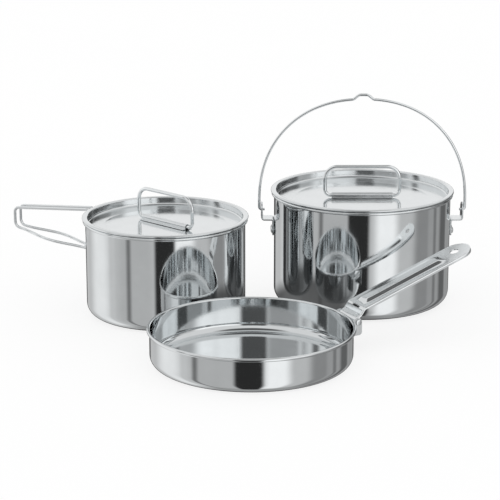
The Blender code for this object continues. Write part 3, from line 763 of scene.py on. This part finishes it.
def vessel(node, corner, vessels):
    """A drawn pot or pan: flat base, rounded corner, straight wall and rolled rim."""
    pot = vessel_of(node, vessels)
    bead = vessels.bead / 2
    centre = (pot.wall - vessels.sheet + bead, pot.height - bead)
    meet = acos((pot.wall - centre[0]) / bead)
    hub = (pot.wall - corner, corner)
    outline = [(0, 0)]
    outline += arc(hub, corner, -pi / 2, 0)
    outline += arc(centre, bead, -meet, pi)
    outline += arc(hub, corner - vessels.sheet, 0, -pi / 2)
    outline.append((0, vessels.sheet))
    return turned(outline, pot.place, vessels.facets)


def lid_plate(pot, disc, lids, vessels):
    """A drop-in lid: domed rolled edge, skirt, floor corner, sloping ledge and flat disc."""
    skirt = pot.wall - vessels.sheet - lids.clearance
    inner = skirt - lids.sheet
    edge = lids.edge / 2
    seat = pot.height + SEAT_GAP
    ledge = seat + lids.edge - lids.recess
    floor = ledge - lids.ledge_drop
    rim = pot.rim + lids.overhang
    hub = (inner - lids.corner, ledge + lids.corner)
    middle = ((inner + rim) / 2, seat + edge)
    outline = [(0, floor), (disc, floor)]
    outline += arc(hub, lids.corner, -pi / 2, 0)
    outline += oval(middle, rim - middle[0], edge, evenly(pi, 0, 4 * EDGE_STEPS))
    outline += arc((rim - edge, seat + edge), edge, 0, -pi / 2)[1:]
    outline.append((skirt, seat))
    outline += arc(hub, lids.corner + lids.sheet, 0, -pi / 2)
    outline += [(disc, floor - lids.sheet), (0, floor - lids.sheet)]
    return turned(outline[::-1], pot.place, vessels.facets)


def lid_loop(prefix, loops):
    """The folding loop of one lid and the keeper strap over its foot bar."""
    joint = JOINTS[prefix + "_loop_fold"]
    pivot = Vector(joint["pos_m"])
    lay = Matrix.Translation(pivot) @ Matrix.Rotation(atan2(joint["axis"][1], joint["axis"][0]), 4, "Z")
    half = loops.span / 2
    corners = [(SEAT_GAP / 2, 0, 0), (half, 0, 0), (half, 0, loops.rise)]
    corners += [(-across, y, rise) for across, y, rise in reversed(corners)]
    bends = (loops.foot_bend, loops.top_bend, loops.top_bend, loops.foot_bend)
    loop = swept([lay @ point for point in rounded(corners, bends)], loops.wire, pivot)
    bore = loops.wire / 2 + PIVOT_PLAY
    outer = bore + loops.sheet
    foot = outer + loops.foot
    step = loops.sheet - bore
    outline = [(-outer, step), (-foot, step), (-foot, -bore), (-bore, -bore)]
    outline += arc((0, 0), bore, pi, 0)
    outline += [(bore, -bore), (foot, -bore), (foot, step), (outer, step)]
    outline += arc((0, 0), outer, 0, pi)
    reach = loops.keeper / 2
    keeper = prism(outline, -reach, reach, lay @ Matrix.Rotation(pi / 2, 4, "Z"))
    ease(keeper, loops.sheet * KEEPER_EASE)
    return loop, keeper


def rivet(wall, spot, sheet, sizes):
    """A rivet along local X, from a flat head inside the wall to a domed head on a strap's sheet."""
    rivets = sizes.rivets
    shank = rivets.shank / 2
    head = rivets.head / 2
    inside = wall - sizes.vessels.sheet - SEAT_GAP
    outside = wall + SEAT_GAP + sheet + SEAT_GAP
    flat = rivets.dome / 2
    soft = flat / 2
    outline = [(0, inside - flat)]
    outline += arc((head - soft, inside - flat + soft), soft, -pi / 2, 0)
    outline += [(head, inside), (shank, inside), (shank, outside)]
    outline += oval((0, outside), head, rivets.dome, quarter(TIP_STEPS)[:-1])
    outline.append((0, outside + rivets.dome))
    return turned(outline, spot @ Matrix.Rotation(pi / 2, 4, "Y"), RIVET_FACETS)


def add_rivets(prefix, pot, spots, sheet, sizes):
    """Rivets at their spots, each named after its place."""
    for where, spot in spots.items():
        stands_for(rivet(pot.wall, spot, sheet, sizes), f"{prefix}_{where}")


def rivet_holes(pot, spots, sheet, sizes):
    """Cutters for the rivets' holes through a wall and the strap on it."""
    radius = sizes.rivets.shank / 2 + SEAT_GAP
    start = (pot.wall - sizes.vessels.sheet - CUT_REACH, 0, 0)
    end = (pot.wall + sheet + CUT_REACH, 0, 0)
    return [rod(radius, start, end, spot) for spot in spots.values()]


def ear_spots(side, pot, bail):
    """Frame of one ear and the frames of its two rivets, by name."""
    turn = 0 if side == "right" else pi
    lean = bail.rivet_spread / 2 / pot.wall
    front = -lean if side == "right" else lean
    lay = pot.place @ Matrix.Rotation(turn, 4, "Z")
    level = Matrix.Translation((0, 0, pivot_of("bail_swing").z - bail.tab_rise - bail.rivet_drop))
    offsets = {"front": front, "back": -front}
    return lay, {where: lay @ level @ Matrix.Rotation(offset, 4, "Z") for where, offset in offsets.items()}


def bail_ear(side, pot, sizes):
    """A pressed ear: riveted wall plate, arm and upright tab with an eye."""
    bail = sizes.bail
    pivot = pivot_of("bail_swing").z
    arm = pivot - bail.tab_rise
    foot = arm - bail.plate_drop
    plate = pot.wall + SEAT_GAP + bail.strap / 2
    tab = pot.wall + bail.reach - bail.strap / 2
    bend = bail.ear_bend

    def half_width(radius, height):
        if height > pivot:
            return max(cornered(bail.tab_half, bail.tab_half, height - pivot), SEAT_GAP)
        part = min(max((radius - plate) / (tab - plate), 0), 1)
        half = bail.plate_half + (bail.tab_half - bail.plate_half) * part
        return cornered(half, bail.corner, foot + bail.corner - height)

    line = [(plate, foot + bail.corner * (1 - cos(a))) for a in quarter(TIP_STEPS)]
    line += arc((plate + bend, arm - bend), bend, pi, pi / 2)
    line += arc((tab - bend, arm + bend), bend, -pi / 2, 0)
    line += [(tab, pivot + bail.tab_half * sin(a)) for a in quarter(TIP_STEPS)]
    lay, spots = ear_spots(side, pot, bail)
    ear = strap(line, half_width, bail.strap, lay)
    through = bail.strap / 2 + CUT_REACH
    eye = rod(bail.wire / 2 + PIVOT_PLAY, (tab - through, 0, pivot), (tab + through, 0, pivot), lay)
    carve(ear, [eye] + rivet_holes(pot, spots, bail.strap, sizes))
    return ear


def bail_wire(pot, bail):
    """The bail: hooked feet, straight legs and a squared bow with a seat for a pot hook."""
    tab_outer = pot.wall + bail.reach
    half_span = tab_outer + PIVOT_PLAY + bail.wire / 2
    hook = tab_outer - bail.strap - bail.hook
    half = rounded([(hook, 0, 0), (half_span, 0, 0), (half_span, 0, bail.leg)], [bail.bend])
    power = 2 / bail.squareness
    seat = acos((bail.seat_half / half_span) ** (1 / power))
    turns = evenly(0, seat, round(seat / BOW_STEP)) + evenly(seat, pi / 2, TIP_STEPS)[1:]
    for turn in turns[1:]:
        across = half_span * cos(turn) ** power
        rise = bail.leg + bail.rise * sin(turn) ** power
        near = max(0, 1 - across / bail.seat_half)
        half.append(Vector((across, 0, rise + bail.seat_rise * smooth(near * SEAT_FULLNESS))))
    other = [Vector((-point.x, 0, point.z)) for point in reversed(half[:-1])]
    pivot = pivot_of("bail_swing")
    return swept([pivot + point for point in half + other], bail.wire, pivot)


def grip_places(pot, grips):
    """Frame of the grips' bracket, its hinges' radius and half their distance, and its tabs' heights."""
    front = pivot_of("grip_front_fold")
    back = pivot_of("grip_back_fold")
    lay, hinge, _ = facing(pot, (front + back) / 2)
    low = pot.height - grips.foot_drop + grips.hinge_bend + grips.strap / 2
    top = pot.height - grips.top_drop - grips.hinge_bend - grips.strap / 2
    return lay, hinge, (front - back).length / 2, low, top


def grip_wire(side, pot, grips):
    """One wire grip, side 1 in front and -1 behind, with a swelling lower strand."""
    lay, hinge, spread, low_tab, top_tab = grip_places(pot, grips)
    edge = side * spread
    top = pot.height - grips.top_drop
    low = pot.height - grips.foot_drop
    tail = grips.strap + grips.tail
    end = hinge + grips.reach
    corners = [
        (hinge, edge, top - grips.hinge_bend - tail),
        (hinge, edge, top),
        (end, edge, top - grips.top_slope),
        (end, edge, low + grips.foot_rise),
        (hinge, edge, low),
        (hinge, edge, low + grips.hinge_bend + tail),
    ]
    upper = rounded(corners[:-1], (grips.hinge_bend, grips.top_bend, grips.low_bend))[:-1]
    foot = rounded(corners[-3:], (grips.hinge_bend,))[1:]
    count = round((upper[-1] - foot[0]).length / WIRE_STEP * 2)
    strand = []
    for part in evenly(0, 1, count)[1:-1]:
        point = upper[-1].lerp(foot[0], part)
        point.y += side * grips.belly * sin(pi * part) ** 2
        strand.append(point)
    pivot = lay @ Vector((hinge, edge, (low_tab + top_tab) / 2))
    return swept([lay @ point for point in upper + strand + foot], grips.wire, pivot)


def bracket_spots(pot, grips):
    """Frames of the bracket's rivets, by name."""
    lay, _, _, low, top = grip_places(pot, grips)
    half = grips.rivet_spread / 2
    heights = {"lower": (low + top) / 2 - half, "upper": (low + top) / 2 + half}
    return {where: lay @ Matrix.Translation((0, 0, height)) for where, height in heights.items()}


def grip_bracket(pot, sizes):
    """A channel strap riveted on the wall, with two tabs that carry the grips."""
    grips = sizes.grips
    lay, hinge, spread, low, top = grip_places(pot, grips)
    plate = pot.wall + SEAT_GAP + grips.strap / 2
    tab = hinge + grips.margin
    bend = grips.bend

    def half_width(radius, height):
        return cornered(grips.half, grips.corner, radius - tab + grips.corner)

    ends = [tab - grips.corner * (1 - sin(a)) for a in quarter(TIP_STEPS)]
    line = [(radius, low) for radius in reversed(ends)]
    line += arc((plate + bend, low + bend), bend, -pi / 2, -pi)
    line += arc((plate + bend, top - bend), bend, pi, pi / 2)
    line += [(radius, top) for radius in ends]
    bracket = strap(line, half_width, grips.strap, lay)
    cutters = rivet_holes(pot, bracket_spots(pot, grips), grips.strap, sizes)
    through = grips.strap / 2 + CUT_REACH
    for edge in (spread, -spread):
        for height in (low, top):
            ends = [(hinge, edge, height - through), (hinge, edge, height + through)]
            cutters.append(rod(grips.wire / 2 + PIVOT_PLAY, *ends, lay))
    carve(bracket, cutters)
    return bracket


def pan_bracket(pan, handle, vessels):
    """Bracket on the pan's wall: a curved foot plate between two cheeks that carry the hinge pin."""
    lay, hinge, rise = facing(pan, pivot_of("pan_handle_fold"))
    inner = handle.half + PIVOT_PLAY
    outer = inner + handle.strap
    seat = pan.wall + SEAT_GAP
    under_rim = pan.height - vessels.bead - 2 * SEAT_GAP
    clear = pan.rim + 2 * SEAT_GAP
    back = pan.wall - handle.cheek_depth
    front = hinge + handle.cheek_round
    corner = handle.foot_corner
    outline = [(back, handle.foot_rise)]
    outline += arc((front - corner, handle.foot_rise + corner), corner, -pi / 2, 0)
    outline += arc((hinge, rise), handle.cheek_round, 0, handle.cheek_end)
    outline += [(clear, under_rim), (back, under_rim)]
    bracket = prism(outline, -outer, outer, lay)
    wall = [(0, 0), (seat, 0), (seat, pan.height), (0, pan.height)]
    face = seat + handle.strap
    far = front + CUT_REACH
    high = rise + handle.cheek_round + CUT_REACH
    channel = [(face, 0), (far, 0), (far, high), (face, high)]
    reach = outer + CUT_REACH
    cutters = [
        turned(wall, lay, vessels.facets),
        prism(channel, -inner, inner, lay),
        rod(handle.pin / 2 + SEAT_GAP, (hinge, -reach, rise), (hinge, reach, rise), lay),
    ]
    carve(bracket, cutters)
    ease(bracket, handle.strap * BRACKET_EASE)
    return bracket


def pan_pin(pan, handle):
    """Hinge pin with a formed head at each end."""
    lay, hinge, rise = facing(pan, pivot_of("pan_handle_fold"))
    end = handle.half + PIVOT_PLAY + handle.strap + SEAT_GAP
    head = handle.pin_head / 2
    half = [(0, end + handle.pin_depth)]
    half += [(head * sin(a), end + handle.pin_depth * cos(a) ** PIN_CROWN) for a in quarter(TIP_STEPS)[1:]]
    half.append((handle.pin / 2, end))
    outline = [(radius, -height) for radius, height in half] + half[::-1]
    place = lay @ Matrix.Translation((hinge, 0, rise)) @ Matrix.Rotation(-pi / 2, 4, "X")
    return turned(outline, place, RIVET_FACETS)


def handle_line(handle):
    """Outer line of the handle, and its depth of groove, from the curl round the pin out to the tip."""
    radius = handle.pin / 2 + PIVOT_PLAY + handle.sheet
    curl = [Vector((x, 0, z)) for x, z in arc((0, 0), radius, handle.curl_start, handle.curl_end)]
    crease = Vector((handle.crease_place, 0, handle.crease_rise))
    corner = Vector((handle.nose_end, 0, handle.rise))
    before = (curl[-1] - crease).normalized()
    after = (corner - crease).normalized()
    line = [(point, 0) for point in curl]
    for part in evenly(-1, 1, 2 * GROOVE_STEPS):
        away = (before if part < 0 else after) * handle.crease_half * abs(part)
        line.append((crease + away, handle.crease_depth * smooth(1 - abs(part))))
    far = (handle.rib_start, 0, handle.rise)
    line += [(point, 0) for point in spaced(rounded([line[-1][0], corner, far], [handle.nose_bend]))[1:]]
    count = round((handle.hole_place - handle.rib_start) / HANDLE_STEP)
    places = evenly(handle.rib_start, handle.hole_place, count)[1:]
    tip = sqrt(handle.half**2 - handle.tip_half**2)
    places += [handle.hole_place + tip * sin(a) for a in quarter(TIP_STEPS)[1:]]
    return line + [(Vector((place, 0, handle.rise)), 0) for place in places]


def handle_section(along, groove, handle):
    """Section of the handle at a distance from its pin: a strip with a rib and turned-down lips."""
    half = cornered(handle.half, handle.half, along - handle.hole_place)
    narrowing = half / handle.half
    sheet = handle.sheet
    lip = smooth((along - handle.lip_start) / handle.lip_growth)
    drop = handle.lip_least + (handle.lip - handle.lip_least) * lip
    grown = smooth((along - handle.rib_start) / handle.rib_ramp)
    shrunk = smooth((handle.rib_end - along) / handle.rib_ramp)
    rib = handle.rib_rise * min(grown, shrunk)
    fold = min(handle.fold, drop)
    edge = fold * narrowing
    foot = handle.rib_foot * narrowing
    crest = handle.rib_crest * narrowing
    side = [(half, -drop)]
    side += oval((half - edge, -fold), edge, fold, quarter(EDGE_STEPS))
    side.append((half - edge * LIP_SHOULDER, -groove))
    for across in evenly(foot, crest, EDGE_STEPS):
        side.append((across, rib * smooth((foot - across) / (foot - crest)) - groove))
    side.append((crest / 2, rib - groove))
    wall = half - sheet * narrowing
    fold = min(max(fold - sheet, sheet * LEAST_FOLD), drop - sheet)
    edge = fold * narrowing
    lining = [(wall, -drop)]
    lining += oval((wall - edge, -sheet - fold), edge, fold, quarter(EDGE_STEPS))
    lining += [(across, rise - sheet) for across, rise in side[EDGE_STEPS + 2:]]
    outer = side + [(-across, rise) for across, rise in reversed(side)]
    return outer + [(-across, rise) for across, rise in lining] + lining[::-1]


def pan_handle(pan, handle):
    """Pressed handle curled round its pin, with a groove, a slot, a rib, lips and a hang hole."""
    lay, hinge, rise = facing(pan, pivot_of("pan_handle_fold"))
    tilted = lay @ Matrix.Translation((hinge, 0, rise)) @ Matrix.Rotation(-handle.tilt, 4, "Y")
    line = handle_line(handle)
    sections = []
    for (spot, groove), run in zip(line, headings([spot for spot, _ in line])):
        out = Vector((-run.z, 0, run.x))
        section = handle_section(spot.x, groove, handle)
        sections.append([spot + out * height + Vector((0, across, 0)) for across, height in section])
    piece = loft(sections, tilted)
    hang = handle.hole_place
    high = handle.rise + CUT_REACH
    low = handle.rise - handle.lip - CUT_REACH
    half = handle.slot_width / 2
    reach = handle.slot_length / 2 - half
    slot = arc((handle.slot_place, reach), half, 0, pi)
    slot += arc((handle.slot_place, -reach), half, pi, tau)
    cutters = [
        rod(handle.hole / 2, (hang, 0, low), (hang, 0, high), tilted),
        prism(slot, low, high, tilted, axis="z"),
    ]
    carve(piece, cutters)
    return piece


def studio_world(name):
    """White to the camera and to matt surfaces; polished steel mirrors soft panels of a studio."""
    world = bpy.data.worlds.new(name)
    world.use_nodes = True
    tree = world.node_tree
    _, axes = axes_of(tree, "Generated")
    bearing = maths(tree, "ARCTAN2", axes[0], maths(tree, "MULTIPLY", axes[1], -1.0))
    low, high = ROOM_LOW, ROOM_HIGH
    for _, azimuth, half, soft, low_level, high_level in STUDIO_PANELS:
        offset = maths(tree, "SUBTRACT", bearing, radians(azimuth))
        away = maths(tree, "ABSOLUTE", maths(tree, "WRAP", offset, pi, -pi))
        inside = remap(tree, away, radians(half - soft), radians(half + soft), 1.0, 0.0, "SMOOTHSTEP")
        low = blend(tree, inside, low, low_level)
        high = blend(tree, inside, high, high_level)
    level = remap(tree, axes[2], -HORIZON_BLUR, HORIZON_BLUR, low, high)
    for _, start, full, layer_level in ROOM_LAYERS:
        level = blend(tree, remap(tree, axes[2], start, full), level, layer_level)
    mirrored = add_node(tree, "ShaderNodeLightPath").outputs["Is Glossy Ray"]
    background = tree.nodes["Background"].inputs
    tree.links.new(blend(tree, mirrored, 1.0, level), background["Color"])
    background["Strength"].default_value = 1.0
    world.cycles.sampling_method = "NONE"
    return world


def bare_paint(name):
    """A material without a shader, and its node tree."""
    material = bpy.data.materials.new(name)
    material.use_nodes = True
    tree = material.node_tree
    tree.nodes.remove(tree.nodes["Principled BSDF"])
    return material, tree


def mix_surfaces(tree, part, first, second):
    """A material's surface, from a first shader to a second one by a share."""
    inputs = {0: part, 1: first.outputs[0], 2: second.outputs[0]}
    mixed = add_node(tree, "ShaderNodeMixShader", inputs).outputs[0]
    tree.links.new(mixed, tree.nodes["Material Output"].inputs["Surface"])


def fade_out(tree, level, inside):
    """Light of a level that fades out to clear where inside falls to nothing."""
    clear = add_node(tree, "ShaderNodeBsdfTransparent")
    mix_surfaces(tree, inside, clear, add_node(tree, "ShaderNodeEmission", {"Color": level}))


def add_flat(name, points, material):
    """A flat piece of the studio."""
    flat = add_mesh(name, points, [tuple(range(len(points)))])
    flat.data.materials.append(material)
    return flat


def round_flat(name, radius, facets, centre, material):
    """A round flat piece of the studio, on the floor's level."""
    points = [(x, y, 0) for x, y in oval((0, 0), radius, radius, evenly(0, tau, facets)[:-1])]
    flat = add_flat(name, points, material)
    flat.location = (*centre, -SEAT_GAP)
    return flat


def only_mirrored(card):
    """Makes a piece of the studio one that polished steel alone sees."""
    for ray in ("camera", "diffuse", "transmission", "volume_scatter", "shadow"):
        setattr(card, f"visible_{ray}", False)


def studio_card(name, start, end, soft, low, high):
    """An upright card from one place to another, seen above and below the floor's level."""
    run = Vector(end) - Vector(start)
    half = run.length / 2
    material, tree = bare_paint(name)
    _, axes = axes_of(tree)
    level = remap(tree, axes[2], -CARD_BLUR, CARD_BLUR, low, high)
    across = maths(tree, "ABSOLUTE", axes[0])
    fade_out(tree, level, remap(tree, across, half - soft, half, 1.0, 0.0, "SMOOTHSTEP"))
    points = [(-half, 0, -CARD_DEPTH), (half, 0, -CARD_DEPTH), (half, 0, CARD_RISE), (-half, 0, CARD_RISE)]
    card = add_flat(name, points, material)
    card.location = ((Vector(start) + Vector(end)) / 2).to_3d()
    card.rotation_euler.z = atan2(run.y, run.x)
    only_mirrored(card)


def painted_shadow_patch(name):
    """Painted shadow: the dark patch of floor between the vessels, which only polished steel mirrors."""
    material, tree = bare_paint(name)
    place, _ = axes_of(tree)
    reach = add_node(tree, "ShaderNodeVectorMath", {0: place}, operation="LENGTH").outputs["Value"]
    # The patch's dark glow is painted shadow, fading out towards its edge
    level = remap(tree, noise(tree, place, *PATCH_NOISE), *PATCH_RANGE, PAINTED_SHADOW_LEVEL, 2 * PAINTED_SHADOW_LEVEL)
    fade_out(tree, level, remap(tree, reach, PATCH_CORE, PATCH_RADIUS, PATCH_COVER, 0.0, "SMOOTHSTEP"))
    only_mirrored(round_flat(name, PATCH_RADIUS, round(tau / ARC_STEP), PATCH_PLACE, material))


def floor_paint(studio):
    """Pale floor paint; to the camera a share of it stays white, so that shadows are light."""
    material, tree = bare_paint("floor_paint")
    place, _ = axes_of(tree)
    ramp = add_node(tree, "ShaderNodeValToRGB", {"Fac": noise(tree, place, *FLOOR_NOISE)})
    for stop, shade in zip(ramp.color_ramp.elements, (studio.floor_shade, 1.0)):
        stop.color = (shade, shade, shade, 1)
    matt = add_node(tree, "ShaderNodeBsdfDiffuse", {"Color": ramp.outputs["Color"]})
    seen = add_node(tree, "ShaderNodeLightPath").outputs["Is Camera Ray"]
    part = maths(tree, "MULTIPLY", seen, studio.floor_glow)
    mix_surfaces(tree, part, matt, add_node(tree, "ShaderNodeEmission", {"Strength": 1.0}))
    return material


class COOKSET_OT_stage(Operator):
    """Make the camera, the pale floor and the studio."""

    bl_idname = "cook_set.stage"
    bl_label = "Stage"

    def execute(self, context):
        scene = context.scene
        studio = scene.cook_set.studio
        scene.view_settings.view_transform = "Standard"
        camera = bpy.data.cameras.new("camera")
        camera.lens = studio.lens
        view = bpy.data.objects.new("camera", camera)
        view.location = studio.place
        view.rotation_euler = (studio.pitch, 0, 0)
        scene.collection.objects.link(view)
        scene.camera = view
        scene.world = studio_world("studio")
        floor = round_flat("floor", studio.floor_radius, HOLE_FACETS, (0, 0), floor_paint(studio))
        floor.visible_glossy = False
        for card in STUDIO_CARDS:
            studio_card(*card)
        # A painted shadow on the floor between the vessels, seen only in the steel
        painted_shadow_patch("painted_shadow_patch")
        return {"FINISHED"}


class COOKSET_OT_vessels(Operator):
    """Make the two pots and the pan."""

    bl_idname = "cook_set.vessels"
    bl_label = "Pots and pan"

    def execute(self, context):
        vessels = context.scene.cook_set.vessels
        corners = {
            "large_pot_body": vessels.large_corner,
            "small_pot_body": vessels.small_corner,
            "pan_body": vessels.pan_corner,
        }
        for node, corner in corners.items():
            stands_for(vessel(node, corner, vessels), node)
        return {"FINISHED"}


class COOKSET_OT_lids(Operator):
    """Make the two drop-in lids with their loops and keepers."""

    bl_idname = "cook_set.lids"
    bl_label = "Lids and loops"

    def execute(self, context):
        sizes = context.scene.cook_set
        discs = {"large": sizes.lids.large_disc, "small": sizes.lids.small_disc}
        for prefix, disc in discs.items():
            pot = vessel_of(prefix + "_pot_body", sizes.vessels)
            plate = lid_plate(pot, disc, sizes.lids, sizes.vessels)
            stands_for(plate, prefix + "_lid_plate")
            loop, keeper = lid_loop(prefix, sizes.loops)
            stands_for(loop, prefix + "_lid_loop")
            stands_for(keeper, prefix + "_lid_keeper")
        return {"FINISHED"}


class COOKSET_OT_bail(Operator):
    """Make the bail, its ears and their rivets."""

    bl_idname = "cook_set.bail"
    bl_label = "Bail and ears"

    def execute(self, context):
        sizes = context.scene.cook_set
        pot = vessel_of("large_pot_body", sizes.vessels)
        stands_for(bail_wire(pot, sizes.bail), "bail")
        for side in ("left", "right"):
            stands_for(bail_ear(side, pot, sizes), f"bail_ear_{side}")
            _, spots = ear_spots(side, pot, sizes.bail)
            add_rivets(f"ear_rivet_{side}", pot, spots, sizes.bail.strap, sizes)
        return {"FINISHED"}


class COOKSET_OT_grips(Operator):
    """Make the small pot's wire grips, their bracket and its rivets."""

    bl_idname = "cook_set.grips"
    bl_label = "Wire grips"

    def execute(self, context):
        sizes = context.scene.cook_set
        pot = vessel_of("small_pot_body", sizes.vessels)
        for where, side in (("front", 1), ("back", -1)):
            stands_for(grip_wire(side, pot, sizes.grips), f"wire_grip_{where}")
        stands_for(grip_bracket(pot, sizes), "grip_bracket")
        spots = bracket_spots(pot, sizes.grips)
        add_rivets("bracket_rivet", pot, spots, sizes.grips.strap, sizes)
        return {"FINISHED"}


class COOKSET_OT_handle(Operator):
    """Make the pan's folding handle, its hinge pin and its bracket."""

    bl_idname = "cook_set.handle"
    bl_label = "Pan handle"

    def execute(self, context):
        sizes = context.scene.cook_set
        pan = vessel_of("pan_body", sizes.vessels)
        stands_for(pan_bracket(pan, sizes.handle, sizes.vessels), "pan_bracket")
        stands_for(pan_pin(pan, sizes.handle), "pan_hinge_pin")
        stands_for(pan_handle(pan, sizes.handle), "pan_handle")
        return {"FINISHED"}


OPERATORS = (
    COOKSET_OT_stage,
    COOKSET_OT_vessels,
    COOKSET_OT_lids,
    COOKSET_OT_bail,
    COOKSET_OT_grips,
    COOKSET_OT_handle,
)


class COOKSET_PT_pieces(Panel):
    """Lists the cook set's pieces and settings."""

    bl_label = "Cook set"
    bl_space_type = "VIEW_3D"
    bl_region_type = "UI"
    bl_category = "Cook set"

    def draw(self, context):
        layout = self.layout
        for operator in OPERATORS:
            layout.operator(operator.bl_idname)
        for name in CookSet.__annotations__:
            box = layout.box()
            box.label(text=name.capitalize())
            group = getattr(context.scene.cook_set, name)
            for setting in group.__annotations__:
                box.prop(group, setting, text=setting.replace("_", " ").capitalize())


GROUPS = (
    CookSetVessels,
    CookSetLids,
    CookSetLoops,
    CookSetBail,
    CookSetRivets,
    CookSetGrips,
    CookSetHandle,
    CookSetFinishes,
    CookSetStudio,
    CookSet,
)
CLASSES = GROUPS + OPERATORS + (COOKSET_PT_pieces,)


def register():
    for cls in CLASSES:
        bpy.utils.register_class(cls)
    bpy.types.Scene.cook_set = PointerProperty(type=CookSet)


def unregister():
    del bpy.types.Scene.cook_set
    for cls in reversed(CLASSES):
        bpy.utils.unregister_class(cls)


def main():
    register()
    bpy.ops.cook_set.stage()
    bpy.ops.cook_set.vessels()
    bpy.ops.cook_set.lids()
    bpy.ops.cook_set.bail()
    bpy.ops.cook_set.grips()
    bpy.ops.cook_set.handle()


if __name__ == "__main__":
    main()
